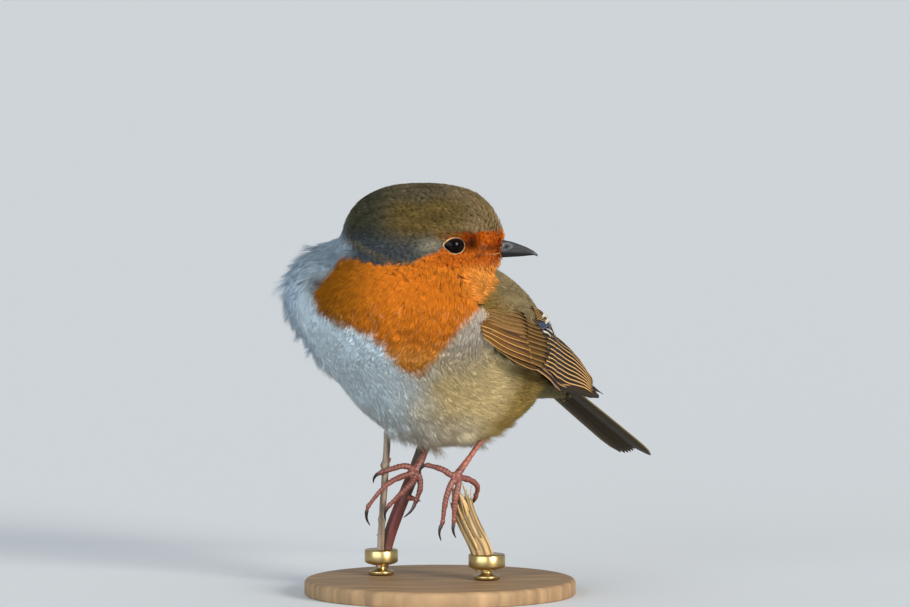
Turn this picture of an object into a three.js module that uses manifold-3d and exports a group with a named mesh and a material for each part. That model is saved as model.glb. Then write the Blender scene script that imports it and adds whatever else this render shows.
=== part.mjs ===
// A European robin, life size, perched with its plumage fluffed and its head turned over
// its left shoulder, on a plain display stand.
// Millimetres, +Z up. A viewer stands on the -Y side and looks along +Y.
// The origin is the middle of the stand base's underside.
import * as THREE from 'three';
import * as BufferGeometryUtils from 'three/addons/utils/BufferGeometryUtils.js';
import Module from 'manifold-3d';

const wasm = await Module();
wasm.setup();

// ---------------------------------------------------------------- driving dimensions

const GAP = 0.3;                       // clearance between neighbouring solids
const FACET_DETAIL = { head: 5, neck: 4, trunk: 7 };
const SOFTNESS = 2;                    // how far two blobs of plumage blend into each other

const BODY_YAW = 44;                   // degrees the breast turns from the viewer towards -X
const HEAD_YAW = -85;                  // degrees the bill turns from the viewer towards -X
const BODY_AXIS = [-0.5, 1];           // forward and left offset of the body's middle plane
const BREAST_HEIGHT = 70.5;
const BELLY_HEIGHT = 57.5;
const HEAD_CENTRE = [-4.5, -17, 88.4];

const TAIL_LENGTH = 56;
const TAIL_WIDTH = 15.5;
const TAIL_THICKNESS = 1.6;
const TAIL_DROP = 32;                  // degrees the tail slopes down
const TAIL_TIP = [-69.5, 1.5, 32.4];   // forward, left, up
const TAIL_NOTCH = 0.9;

const BILL_LENGTH = 13.4;              // with the part inside the face
const BILL_ROOT = [10.8, -18.3, 88.7];
const EYE_RADIUS = 3.4;
const EYE_PLACE = [8.3, 8.4, 0.9];    // forward, sideways and up from the head's centre

const TOE_RADIUS = 0.72;
const TARSUS_RADIUS = 0.78;

const BASE_RADIUS = 34;
const BASE_THICKNESS = 4;
const ROD_RADIUS = 1.3;

// ---------------------------------------------------------------- frames and points

const radians = THREE.MathUtils.degToRad;
const UP = new THREE.Vector3(0, 0, 1);

// Turns (forward, left, up) into the shared frame for a heading and an upward pitch.
function headingMatrix(yaw, pitch) {
  const turn = radians(yaw);
  const flat = new THREE.Vector3(-Math.sin(turn), -Math.cos(turn), 0);
  const left = new THREE.Vector3(Math.cos(turn), -Math.sin(turn), 0);
  const tilt = radians(pitch);
  const forward = flat.clone().multiplyScalar(Math.cos(tilt)).addScaledVector(UP, Math.sin(tilt));
  const up = flat.clone().multiplyScalar(-Math.sin(tilt)).addScaledVector(UP, Math.cos(tilt));
  return new THREE.Matrix4().makeBasis(forward, left, up);
}

function bodyPoint([forward, left, up]) {
  return new THREE.Vector3(forward, left, up).applyMatrix4(headingMatrix(BODY_YAW, 0));
}

function headPoint([forward, left, up]) {
  const offset = new THREE.Vector3(forward, left, up).applyMatrix4(headingMatrix(HEAD_YAW, 0));
  return new THREE.Vector3(...HEAD_CENTRE).add(offset);
}

function place([x, y, z]) {
  return new THREE.Vector3(x, y, z);
}

// ---------------------------------------------------------------- plumage as soft blobs

function blob(centre, semiAxes, yaw, pitch) {
  return { centre, semiAxes: new THREE.Vector3(...semiAxes), inverse: headingMatrix(yaw, pitch).invert() };
}

function bodyBlob(at, semiAxes, pitch) {
  const shifted = [at[0] + BODY_AXIS[0], at[1] + BODY_AXIS[1], at[2]];
  return blob(bodyPoint(shifted), semiAxes, BODY_YAW, pitch);
}

function headBlob(at, semiAxes, pitch = 0) {
  return blob(headPoint(at), semiAxes, HEAD_YAW, pitch);
}

function blobDistance(point, { centre, semiAxes, inverse }) {
  const local = point.clone().sub(centre).applyMatrix4(inverse);
  const unit = local.clone().divide(semiAxes);
  const slope = unit.clone().divide(semiAxes).length();
  const reach = unit.length();
  return slope < 1e-9 ? -semiAxes.z : reach * (reach - 1) / slope;
}

function fieldDistance(point, blobs) {
  let sum = 0;
  for (const each of blobs) sum += Math.exp(-blobDistance(point, each) / SOFTNESS);
  return -SOFTNESS * Math.log(Math.max(sum, 1e-300));
}

// Merges the shared vertices of a unit shape, so that it can be bent as one closed skin.
function sharedVertices(geometry) {
  const bare = geometry.clone();
  bare.deleteAttribute('normal');
  bare.deleteAttribute('uv');
  return BufferGeometryUtils.mergeVertices(bare, 1e-5);
}

// A closed skin round a centre, found along rays that run in from outside.
function blobSolid(centre, blobs, detail, grow = 0) {
  const reach = 70;
  const stride = 1;
  const geometry = sharedVertices(new THREE.IcosahedronGeometry(1, detail));
  const position = geometry.getAttribute('position');
  const direction = new THREE.Vector3();
  const inside = (distance) => fieldDistance(centre.clone().addScaledVector(direction, distance), blobs) < grow;
  for (let i = 0; i < position.count; i += 1) {
    direction.fromBufferAttribute(position, i).normalize();
    let outer = reach;
    while (outer > stride && !inside(outer - stride)) outer -= stride;
    let inner = outer - stride;
    for (let halving = 0; halving < 14; halving += 1) {
      const middle = (inner + outer) / 2;
      if (inside(middle)) inner = middle;
      else outer = middle;
    }
    position.setXYZ(i, ...centre.clone().addScaledVector(direction, inner).toArray());
  }
  return toManifold(geometry);
}

// ---------------------------------------------------------------- bent, tapering solids

// A closed tube along a curve. sizes(t) gives its half width and half thickness, and
// facing(t) the direction that its flat side looks in.
function bentSolid(curve, sizes, facing, sides = 8, steps = 10) {
  const geometry = sharedVertices(new THREE.CylinderGeometry(1, 1, 1, sides, steps));
  const position = geometry.getAttribute('position');
  for (let i = 0; i < position.count; i += 1) {
    const t = THREE.MathUtils.clamp(0.5 + position.getY(i), 0, 1);
    const tangent = curve.getTangent(t);
    const across = new THREE.Vector3().crossVectors(tangent, facing(t)).normalize();
    const through = new THREE.Vector3().crossVectors(across, tangent).normalize();
    const [halfWidth, halfThickness] = sizes(t);
    const point = curve.getPoint(t);
    point.addScaledVector(across, position.getX(i) * halfWidth);
    point.addScaledVector(through, position.getZ(i) * halfThickness);
    position.setXYZ(i, point.x, point.y, point.z);
  }
  return toManifold(geometry);
}

function smoothCurve(points) {
  return new THREE.CatmullRomCurve3(points, false, 'centripetal');
}

// Reads a value off a short list of [t, value, ...] stops, with straight runs between them.
function along(stops) {
  return (t) => {
    const next = Math.max(1, stops.findIndex((stop) => stop[0] >= t));
    const [low, high] = [stops[next - 1], stops[next]];
    const share = (t - low[0]) / (high[0] - low[0]);
    return low.slice(1).map((value, i) => THREE.MathUtils.lerp(value, high[i + 1], share));
  };
}

function toManifold(geometry) {
  const { position } = geometry.attributes;
  const triVerts = new Uint32Array(geometry.index.array);
  return new wasm.Manifold(new wasm.Mesh({ numProp: 3, vertProperties: position.array, triVerts }));
}

function largestPiece(solid) {
  return solid.decompose().sort((a, b) => b.volume() - a.volume())[0];
}

function cutBy(solid, cutters) {
  return largestPiece(cutters.reduce((rest, cutter) => rest.subtract(cutter), solid));
}

function toGeometry(solid) {
  const { vertProperties, triVerts } = solid.getMesh();
  const geometry = new THREE.BufferGeometry();
  geometry.setAttribute('position', new THREE.BufferAttribute(new Float32Array(vertProperties), 3));
  geometry.setIndex(Array.from(triVerts));
  geometry.computeVertexNormals();
  return geometry;
}

// ---------------------------------------------------------------- materials

function finish(color, roughness, metalness = 0) {
  return new THREE.MeshStandardMaterial({ color, roughness, metalness });
}

const MATERIALS = {
  headPlumage: () => finish(0x7a6a45, 0.9),
  breastPlumage: () => finish(0xc8641e, 0.9),
  bodyPlumage: () => finish(0xb3ab93, 0.9),
  wingFeather: () => finish(0x5f4d35, 0.75),
  tailFeather: () => finish(0x4f4030, 0.75),
  horn: () => finish(0x2b2a2a, 0.4),
  eye: () => finish(0x0b0908, 0.05),
  leg: () => finish(0x9c5a4b, 0.55),
  claw: () => finish(0x2a2422, 0.4),
  straw: () => finish(0xbb9c66, 0.8),
  twig: () => finish(0x8d7d6b, 0.8),
  cane: () => finish(0x5c2a2a, 0.6),
  standWood: () => finish(0xa98a63, 0.5),
  standBrass: () => finish(0xb5924c, 0.35, 1),
};

const robin = new THREE.Group();

function addPiece(parent, name, geometry, material) {
  const mesh = new THREE.Mesh(geometry, MATERIALS[material]());
  mesh.name = name;
  parent.add(mesh);
  return mesh;
}

// ---------------------------------------------------------------- head and neck

const headBlobs = [
  headBlob([5.5, 0, 2.4], [14.3, 11.2, 12.6]),
  headBlob([-4.9, 1, 1], [15.2, 13.5, 13.9]),
  headBlob([12.5, 0, -0.6], [6.3, 5.2, 5.6], -10),
];

const neckBlobs = [
  headBlob([3.5, -3, -8.5], [14.5, 15, 12]),
  headBlob([-9, 1, -5.5], [16, 16, 11.5]),
];

function eyeSolid(side, grow = 0) {
  const geometry = new THREE.SphereGeometry(EYE_RADIUS + grow, 12, 8);
  const [forward, sideways, up] = EYE_PLACE;
  geometry.translate(...headPoint([forward, side * sideways, up]).toArray());
  return toManifold(sharedVertices(geometry));
}

const BILL_DIRECTION = new THREE.Vector3(1, 0, 0).applyMatrix4(headingMatrix(HEAD_YAW, 0));

function billCurve(rootDrop, tipDrop, length) {
  const root = place(BILL_ROOT);
  const at = (share, drop) => root.clone().addScaledVector(BILL_DIRECTION, share * length).addScaledVector(UP, -drop);
  return smoothCurve([at(0, rootDrop), at(0.5, (rootDrop + tipDrop) / 2 - 0.15), at(1, tipDrop)]);
}

function upperBill(grow = 0) {
  const sizes = along([[0, 2.2, 1.95], [0.35, 1.75, 1.65], [0.7, 0.85, 0.95], [0.93, 0.35, 0.5], [1, 0.12, 0.16]]);
  return bentSolid(billCurve(0, 1.55, BILL_LENGTH), grown(sizes, grow), () => UP, 10, 8);
}

function lowerBill(grow = 0) {
  const sizes = along([[0, 1.9, 0.7], [0.4, 1.3, 0.55], [0.8, 0.6, 0.35], [1, 0.12, 0.12]]);
  return bentSolid(billCurve(3.05, 2.3, BILL_LENGTH - 0.8), grown(sizes, grow), () => UP, 8, 6);
}

function grown(sizes, grow) {
  return (t) => sizes(t).map((size) => size + grow);
}

// ---------------------------------------------------------------- trunk

const trunkBlobs = [
  bodyBlob([15, 2, BREAST_HEIGHT], [31, 27, 16.5], 5),
  bodyBlob([15, -13, BREAST_HEIGHT + 3.5], [25.5, 17.5, 15.5], 12),
  bodyBlob([5, -1, (BREAST_HEIGHT + BELLY_HEIGHT) / 2], [27.5, 26, 17], 8),
  bodyBlob([-1.5, -1, BELLY_HEIGHT], [26, 23.5, 20.8], 0),
  bodyBlob([-9, 0, 69.5], [19, 17.5, 11.5], 32),
  bodyBlob([-23, 0, 60], [17, 11, 7.5], 30),
  bodyBlob([-33, 0, 53], [13, 7.5, 3.4], TAIL_DROP),
];

// ---------------------------------------------------------------- wings

// Each wing is laid along the flank: covert panel, secondaries and primaries.
function wingPoint(side, [forward, outward, up]) {
  return bodyPoint([forward + BODY_AXIS[0], side * outward + BODY_AXIS[1], up]);
}

function wingBlade(side, points, stops, outwardTilt, grow = 0) {
  const curve = smoothCurve(points.map((point) => wingPoint(side, point)));
  const outward = new THREE.Vector3(0.1, side, outwardTilt).applyMatrix4(headingMatrix(BODY_YAW, 0));
  return bentSolid(curve, grown(along(stops), grow), () => outward, 10, 8);
}

const WING_PANELS = {
  coverts: {
    points: [[12, 25.5, 70], [1, 26.5, 66.5], [-11, 22, 63.6], [-21, 16, 61.6]],
    stops: [[0, 3, 0.8], [0.2, 8, 2.2], [0.55, 9.6, 2.4], [0.85, 7.6, 1.9], [1, 5, 1.2]],
    tilt: 0.5,
  },
  secondaries: {
    points: [[-14, 17, 63.4], [-25, 12.5, 60.2], [-36, 8, 56.4], [-46, 5.4, 52.6]],
    stops: [[0, 7.4, 1.3], [0.3, 8.2, 1.6], [0.65, 6.4, 1.3], [0.9, 3.4, 0.9], [1, 1.4, 0.5]],
    tilt: 0.8,
  },
  primaries: {
    points: [[-10, 20.5, 57], [-22, 17.4, 54.4], [-36, 11.6, 51.4], [-49, 7, 47.3]],
    stops: [[0, 2.5, 0.9], [0.3, 3.4, 1.1], [0.7, 2.8, 1], [0.92, 1.6, 0.7], [1, 0.6, 0.4]],
    tilt: 0.35,
  },
};

function wingPanel(side, name, grow = 0) {
  const { points, stops, tilt } = WING_PANELS[name];
  return wingBlade(side, points, stops, tilt, grow);
}

// ---------------------------------------------------------------- tail

function tailSolid(grow = 0) {
  const halfWidth = TAIL_WIDTH / 2;
  const outline = new THREE.Shape();
  outline.moveTo(0, -halfWidth * 0.45 - grow);
  outline.lineTo(TAIL_LENGTH * 0.75, -halfWidth - grow);
  outline.quadraticCurveTo(TAIL_LENGTH, -halfWidth - grow, TAIL_LENGTH + grow, -halfWidth * 0.5);
  outline.lineTo(TAIL_LENGTH - TAIL_NOTCH + grow, 0);
  outline.lineTo(TAIL_LENGTH + grow, halfWidth * 0.5);
  outline.quadraticCurveTo(TAIL_LENGTH, halfWidth + grow, TAIL_LENGTH * 0.75, halfWidth + grow);
  outline.lineTo(0, halfWidth * 0.45 + grow);
  const depth = TAIL_THICKNESS + 2 * grow;
  const geometry = new THREE.ExtrudeGeometry(outline, { depth, bevelEnabled: false, curveSegments: 5 });
  geometry.translate(-TAIL_LENGTH, 0, -depth / 2);
  geometry.applyMatrix4(headingMatrix(BODY_YAW + 180, -TAIL_DROP));
  geometry.translate(...bodyPoint(TAIL_TIP).toArray());
  return toManifold(sharedVertices(geometry));
}

// ---------------------------------------------------------------- legs and feet

// Points of each foot's tarsus, toes and claws. A claw starts where its toe ends.
const FEET = {
  left: {
    tarsus: [[13.4, 0.5, 41.5], [10.2, -2.4, 38.6], [6.9, -5.6, 34.2], [4.1, -8.1, 30.6]],
    toes: {
      middle: [[3.2, -8.6, 29.5], [1.8, -9.2, 26.2], [1.1, -8.9, 22.8], [0.7, -8.2, 19.3]],
      outer: [[4.8, -8.9, 29.3], [4, -9.6, 25.8], [3.6, -9.4, 22.6], [3.5, -8.9, 19.6]],
      inner: [[2.6, -8.3, 30.9], [0.6, -8, 32.2], [-1, -7, 32.6], [-2.9, -5.6, 33]],
      hind: [[5.4, -7.3, 30], [8.1, -4.8, 29], [9.5, -3.4, 27.2], [9, -2.4, 25.2]],
    },
    claws: {
      middle: [[0.5, -8, 18.4], [-0.3, -8.2, 16.6], [0.3, -7.9, 14.2]],
      outer: [[3.4, -8.7, 18.7], [3.2, -8.9, 16.8], [4, -8.4, 15]],
      inner: [[-3.6, -5, 33], [-4.8, -4.4, 32.2], [-5.2, -3.8, 30.6]],
      hind: [[8.8, -2, 24.4], [8, -1.2, 23], [6.6, -0.9, 22.2]],
    },
  },
  right: {
    tarsus: [[0.6, 10.2, 41], [-2, 8.8, 38], [-4.2, 7.2, 34.2], [-6.1, 5.9, 30.8]],
    toes: {
      middle: [[-8, 4.9, 29.7], [-11.2, 4.2, 28.6], [-14.2, 3.6, 26.6], [-18, 4, 21.9]],
      outer: [[-6.8, 4.1, 28], [-8.2, 3.4, 26.6], [-10.4, 3.2, 24.4], [-12.6, 3.8, 22.2]],
      inner: [[-7.9, 5.6, 31.7], [-9.8, 5, 31.8], [-12.4, 4.9, 31], [-14.6, 5.9, 30.2]],
      hind: [[-5.4, 5.6, 29.6], [-4.9, 5.4, 27.4], [-5.2, 5.2, 25.4], [-5.9, 5.2, 23.4]],
    },
    claws: {
      middle: [[-18.3, 4.2, 21], [-18.6, 4.4, 18.8], [-17.6, 4.8, 16.8]],
      outer: [[-13.2, 4.2, 21.4], [-14, 4.4, 19.8], [-13.6, 4.6, 18]],
      inner: [[-15.4, 6.6, 29.8], [-16.6, 7.4, 28.8], [-16.8, 8.2, 27.2]],
      hind: [[-6.2, 5.3, 22.6], [-7.2, 5.2, 20.4], [-9.2, 5.3, 18.8]],
    },
  },
};

const TOE_TAPER = [[0, 1.05], [0.15, 1.15], [0.3, 0.95], [0.55, 1.05], [0.75, 0.85], [1, 0.8]];
const CLAW_TAPER = [[0, 0.62], [0.4, 0.42], [0.8, 0.22], [1, 0.08]];
const TARSUS_TAPER = [[0, 0.95], [0.3, 0.85], [0.6, 0.9], [0.85, 1.15], [1, 1.3]];

function limbSolid(points, taper, radius, sides, steps, grow = 0) {
  const sizes = along(taper.map(([t, scale]) => [t, scale * radius + grow, scale * radius + grow]));
  const sideways = new THREE.Vector3(0.35, 0.9, 0.1);
  return bentSolid(smoothCurve(points.map(place)), sizes, () => sideways, sides, steps);
}

function tarsusSolid(side, grow = 0) {
  return limbSolid(FEET[side].tarsus, TARSUS_TAPER, TARSUS_RADIUS, 6, 5, grow);
}

// ---------------------------------------------------------------- perch

const STEMS = {
  perch_straw_stem: {
    points: [[4.8, -5.6, 27.4], [6.2, -5.2, 20.4], [8.8, -4.6, 14.6], [12, -4, 7.6]],
    radius: 2.9,
    material: 'straw',
  },
  perch_grey_twig: {
    points: [[-12.9, 9.4, 46], [-13.6, 7.6, 33], [-14.6, 6.4, 18], [-15.2, 5.9, 6.2]],
    radius: 0.9,
    material: 'twig',
  },
  perch_red_cane: {
    points: [[-2.9, 12.8, 39.6], [-6.4, 9.3, 30], [-10.9, 8.6, 19.4], [-14.6, 8.9, 6.2]],
    radius: 1.55,
    material: 'cane',
  },
};

function stemSolid(name, grow = 0) {
  const { points, radius } = STEMS[name];
  return limbSolid(points, [[0, 1], [0.5, 0.96], [1, 1]], radius, 8, 6, grow);
}

// ---------------------------------------------------------------- stand

// A turned rod with a flange at its foot and a ferrule that takes the perch's cut end.
function rodSolid([x, y], ferruleRadius, ferruleTop) {
  const ferruleFoot = ferruleTop - 4.2;
  const flange = 3.2;
  const profile = [
    [0, BASE_THICKNESS + GAP],
    [flange, BASE_THICKNESS + GAP],
    [flange, BASE_THICKNESS + 1],
    [ROD_RADIUS, BASE_THICKNESS + 1.6],
    [ROD_RADIUS, ferruleFoot],
    [ferruleRadius - 0.8, ferruleFoot + 0.6],
    [ferruleRadius, ferruleFoot + 1.2],
    [ferruleRadius, ferruleTop],
    [0, ferruleTop],
  ].map(([radius, height]) => new THREE.Vector2(radius, height));
  const geometry = new THREE.LatheGeometry(profile, 12);
  geometry.rotateX(Math.PI / 2);
  geometry.translate(x, y, 0);
  return toManifold(sharedVertices(geometry));
}

function baseGeometry() {
  const bevel = 0.8;
  const profile = [
    [0, 0],
    [BASE_RADIUS, 0],
    [BASE_RADIUS, BASE_THICKNESS - bevel],
    [BASE_RADIUS - bevel, BASE_THICKNESS],
    [0, BASE_THICKNESS],
  ].map(([radius, height]) => new THREE.Vector2(radius, height));
  return new THREE.LatheGeometry(profile, 36);
}

// ---------------------------------------------------------------- assembly

function buildPlumage() {
  const headCentre = headPoint([0, 0, 1]);
  const neckCentre = headPoint([-3, 1, -7]);
  const trunkCentre = bodyPoint([5, 0, 66]);
  const headCutters = [upperBill(GAP), lowerBill(GAP), eyeSolid(1, GAP), eyeSolid(-1, GAP)];
  const headGrown = blobSolid(headCentre, headBlobs, FACET_DETAIL.head, GAP);
  const neckGrown = blobSolid(neckCentre, neckBlobs, FACET_DETAIL.neck, GAP);
  const wingCutters = [];
  for (const side of [1, -1]) {
    for (const name of Object.keys(WING_PANELS)) wingCutters.push(wingPanel(side, name, GAP));
  }
  const legCutters = ['left', 'right'].map((side) => tarsusSolid(side, GAP));
  const stemCutters = Object.keys(STEMS).map((name) => stemSolid(name, GAP));
  const trunkCutters = [headGrown, neckGrown, tailSolid(GAP), ...wingCutters, ...legCutters, ...stemCutters];
  const plumage = new THREE.Group();
  const head = cutBy(blobSolid(headCentre, headBlobs, FACET_DETAIL.head), headCutters);
  const neckCutters = [headGrown, ...headCutters, ...wingCutters];
  const neck = cutBy(blobSolid(neckCentre, neckBlobs, FACET_DETAIL.neck), neckCutters);
  const trunk = cutBy(blobSolid(trunkCentre, trunkBlobs, FACET_DETAIL.trunk), trunkCutters);
  addPiece(plumage, 'head', toGeometry(head), 'headPlumage');
  addPiece(plumage, 'neck', toGeometry(neck), 'breastPlumage');
  addPiece(plumage, 'trunk', toGeometry(trunk), 'bodyPlumage');
  return plumage;
}

function buildFace() {
  const face = new THREE.Group();
  addPiece(face, 'bill_upper', toGeometry(upperBill()), 'horn');
  addPiece(face, 'bill_lower', toGeometry(lowerBill()), 'horn');
  addPiece(face, 'eye_left', toGeometry(eyeSolid(1)), 'eye');
  addPiece(face, 'eye_right', toGeometry(eyeSolid(-1)), 'eye');
  return face;
}

function buildWing(side, label) {
  const wing = new THREE.Group();
  const coverts = wingPanel(side, 'coverts');
  const secondaries = cutBy(wingPanel(side, 'secondaries'), [wingPanel(side, 'coverts', GAP)]);
  const primaryCutters = [wingPanel(side, 'coverts', GAP), wingPanel(side, 'secondaries', GAP), tailSolid(GAP)];
  const primaries = cutBy(wingPanel(side, 'primaries'), primaryCutters);
  addPiece(wing, `wing_${label}_coverts`, toGeometry(coverts), 'wingFeather');
  addPiece(wing, `wing_${label}_secondaries`, toGeometry(secondaries), 'wingFeather');
  addPiece(wing, `wing_${label}_primaries`, toGeometry(primaries), 'wingFeather');
  return wing;
}

function buildLeg(label) {
  const leg = new THREE.Group();
  const { toes, claws } = FEET[label];
  addPiece(leg, `leg_${label}_tarsus`, toGeometry(tarsusSolid(label)), 'leg');
  for (const [name, points] of Object.entries(toes)) {
    const toe = limbSolid(points, TOE_TAPER, TOE_RADIUS, 6, 5);
    addPiece(leg, `toe_${label}_${name}`, toGeometry(toe), 'leg');
  }
  for (const [name, points] of Object.entries(claws)) {
    const claw = limbSolid(points, CLAW_TAPER, 1, 5, 3);
    addPiece(leg, `claw_${label}_${name}`, toGeometry(claw), 'claw');
  }
  return leg;
}

function buildPerch() {
  const perch = new THREE.Group();
  for (const [name, { material }] of Object.entries(STEMS)) {
    addPiece(perch, name, toGeometry(stemSolid(name)), material);
  }
  return perch;
}

function buildStand() {
  const stand = new THREE.Group();
  const base = addPiece(stand, 'stand_base', baseGeometry(), 'standWood');
  base.rotation.x = Math.PI / 2;
  const strawRod = cutBy(rodSolid([11.7, -4], 4.6, 10.6), [stemSolid('perch_straw_stem', GAP)]);
  const caneCutters = [stemSolid('perch_grey_twig', GAP), stemSolid('perch_red_cane', GAP)];
  const caneRod = cutBy(rodSolid([-14.8, 7.6], 4.2, 10.6), caneCutters);
  addPiece(stand, 'stand_rod_straw', toGeometry(strawRod), 'standBrass');
  addPiece(stand, 'stand_rod_cane', toGeometry(caneRod), 'standBrass');
  return stand;
}

robin.add(buildPlumage());
robin.add(buildFace());
robin.add(buildWing(1, 'left'));
robin.add(buildWing(-1, 'right'));
const tail = addPiece(robin, 'tail', toGeometry(tailSolid()), 'tailFeather');
robin.add(buildLeg('left'));
robin.add(buildLeg('right'));
robin.add(buildPerch());
robin.add(buildStand());

export default robin;
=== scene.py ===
import math

import bpy
import numpy as np
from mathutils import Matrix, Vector
from mathutils.bvhtree import BVHTree


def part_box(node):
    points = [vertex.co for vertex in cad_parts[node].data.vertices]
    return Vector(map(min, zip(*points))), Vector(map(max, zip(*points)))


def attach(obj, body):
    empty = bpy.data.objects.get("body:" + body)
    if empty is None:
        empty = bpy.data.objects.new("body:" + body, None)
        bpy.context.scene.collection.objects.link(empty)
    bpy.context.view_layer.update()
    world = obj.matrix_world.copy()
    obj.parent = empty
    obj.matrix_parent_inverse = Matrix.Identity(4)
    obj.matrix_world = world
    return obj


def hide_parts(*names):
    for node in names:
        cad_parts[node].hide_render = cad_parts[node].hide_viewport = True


bl_info = {
    "name": "Perched Robin",
    "version": (1, 0, 0),
    "blender": (4, 5, 0),
    "location": "3D View > Sidebar > Robin",
    "description": "Dresses the robin model in skin, plumage, eyes, bill, feet, perch and stand",
    "category": "Object",
}

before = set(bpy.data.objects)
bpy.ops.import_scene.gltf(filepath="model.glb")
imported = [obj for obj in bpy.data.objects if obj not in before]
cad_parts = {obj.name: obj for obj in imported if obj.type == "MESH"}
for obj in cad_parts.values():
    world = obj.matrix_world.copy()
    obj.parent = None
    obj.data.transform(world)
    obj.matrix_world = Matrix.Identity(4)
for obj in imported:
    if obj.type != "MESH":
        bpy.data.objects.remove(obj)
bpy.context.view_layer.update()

# Shapes are worked out in millimetres and written to meshes in metres.
MM = 0.001
SIDES = ("left", "right")
UP = np.array((0.0, 0.0, 1.0))
COAT_LIMIT = 195_000


# ---- vectors and frames


def unit(vectors):
    """The same directions with length one."""
    return vectors / np.maximum(np.linalg.norm(vectors, axis=-1, keepdims=True), 1e-9)


def dots(a, b):
    """Dot product of each pair of rows."""
    return np.sum(a * b, axis=-1)


def ease(value, low, high):
    """Runs smoothly from 0 at low to 1 at high."""
    share = np.clip((value - low) / (high - low), 0.0, 1.0)
    return share * share * (3.0 - 2.0 * share)


def blend(base, other, share):
    """Mixes rows of other into rows of base."""
    share = np.asarray(share)[..., None]
    return base * (1.0 - share) + np.asarray(other) * share


def read_rows(items, field, width, kind=np.float32):
    """One field of a mesh's items, a row for each."""
    flat = np.empty(len(items) * width, kind)
    items.foreach_get(field, flat)
    return flat.reshape(-1, width)


def layered(base, *layers):
    """Lays colours or directions over a base in turn, each with the share that it covers."""
    for layer, share in layers:
        base = blend(base, layer, share)
    return base


def soft_spot(across, up, at_across, at_up, wide, tall):
    """An oval spot that fades out from 1 at its middle."""
    return np.exp(-((across - at_across) / wide) ** 2 - ((up - at_up) / tall) ** 2)


def circle(count, start=0.0):
    """Even angles round a circle."""
    return np.linspace(start, start + 2 * math.pi, count + 1)[:-1]


def corners(node):
    """Corner points of a CAD node."""
    return read_rows(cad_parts[node].data.vertices, "co", 3).astype(float) / MM


def triangles(node):
    """Corner numbers of a CAD node's triangles."""
    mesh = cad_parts[node].data
    mesh.calc_loop_triangles()
    return read_rows(mesh.loop_triangles, "vertices", 3, np.int32)


def welded(node):
    """A CAD node's points and triangles with shared corners joined."""
    points, where = np.unique(np.round(corners(node), 3), axis=0, return_inverse=True)
    faces = where.reshape(-1)[triangles(node)]
    sound = (faces[:, 0] != faces[:, 1]) & (faces[:, 1] != faces[:, 2]) & (faces[:, 2] != faces[:, 0])
    return points, faces[sound]


def middle(node):
    """Middle of a CAD node's box."""
    low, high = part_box(node)
    return (np.array(low) + np.array(high)) / 2 / MM


BODY_LEFT = unit((middle("wing_left_coverts") - middle("wing_right_coverts")) * (1, 1, 0))
BODY_FORWARD = np.cross(BODY_LEFT, UP)
BODY_MIDDLE = (middle("wing_left_coverts") + middle("wing_right_coverts")) @ BODY_LEFT / 2
EYES = {"left": middle("eye_left"), "right": middle("eye_right")}
EYE_RADIUS = (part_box("eye_left")[1].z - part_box("eye_left")[0].z) / 2 / MM
HEAD_LEFT = unit((EYES["left"] - EYES["right"]) * (1, 1, 0))
HEAD_FORWARD = np.cross(HEAD_LEFT, UP)
HEAD_CENTRE = (EYES["left"] + EYES["right"]) / 2 - 8.3 * HEAD_FORWARD - 0.9 * UP
BILL_BASE = HEAD_CENTRE + 16.0 * HEAD_FORWARD - 1.2 * UP
BREAST_FAN = HEAD_CENTRE + 7.0 * HEAD_FORWARD + 9.0 * UP

# The model is looked at from a little above its middle.
LOOK_DOWN = math.radians(4.0)
FRONT_UP = np.array((0.0, math.sin(LOOK_DOWN), math.cos(LOOK_DOWN)))
FRONT_IN = np.array((0.0, math.cos(LOOK_DOWN), -math.sin(LOOK_DOWN)))


def body_place(points):
    """Forward, left and height of points in the body's own frame."""
    return points @ BODY_FORWARD, points @ BODY_LEFT - BODY_MIDDLE, points[:, 2]


def head_place(points):
    """Forward, left and up of points from the middle of the head."""
    away = points - HEAD_CENTRE
    return away @ HEAD_FORWARD, away @ HEAD_LEFT, away[:, 2]


def front_place(points):
    """Across and up of points as they are seen from the front."""
    return np.stack([points[:, 0], points @ FRONT_UP], axis=1)


def mottle(points, size, seed):
    """Smooth random values from -1 to 1 in patches about that size."""
    lattice = np.random.default_rng(seed).uniform(-1, 1, (32, 32, 32))
    place = points / size + 1000.0
    cell = np.floor(place).astype(int)
    part = place - cell
    part = part * part * (3 - 2 * part)
    total = np.zeros(len(points))
    for corner in np.ndindex(2, 2, 2):
        near = np.where(np.array(corner) == 1, part, 1 - part).prod(axis=1)
        index = (cell + np.array(corner)) % 32
        total += near * lattice[index[:, 0], index[:, 1], index[:, 2]]
    return total


def inside_outline(places, outline):
    """Distance of flat places inside a closed outline, negative outside it."""
    outline = np.array(outline, float)
    nearest = np.full(len(places), 1e9)
    crossings = np.zeros(len(places), int)
    for start, end in zip(outline, np.roll(outline, -1, axis=0)):
        run = end - start
        share = np.clip(((places - start) @ run) / (run @ run), 0, 1)
        gap = np.linalg.norm(places - start - share[:, None] * run, axis=1)
        nearest = np.minimum(nearest, gap)
        spans = (start[1] > places[:, 1]) != (end[1] > places[:, 1])
        rise = run[1] if abs(run[1]) > 1e-9 else 1e-9
        at = start[0] + (places[:, 1] - start[1]) / rise * run[0]
        crossings += spans & (places[:, 0] < at)
    return np.where(crossings % 2 == 1, nearest, -nearest)


# ---- colours


def linear(red, green, blue):
    """A screen colour of 0 to 255 as the linear light that materials use."""
    screen = np.array((red, green, blue)) / 255.0
    return np.where(screen <= 0.04045, screen / 12.92, ((screen + 0.055) / 1.055) ** 2.4)


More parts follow.
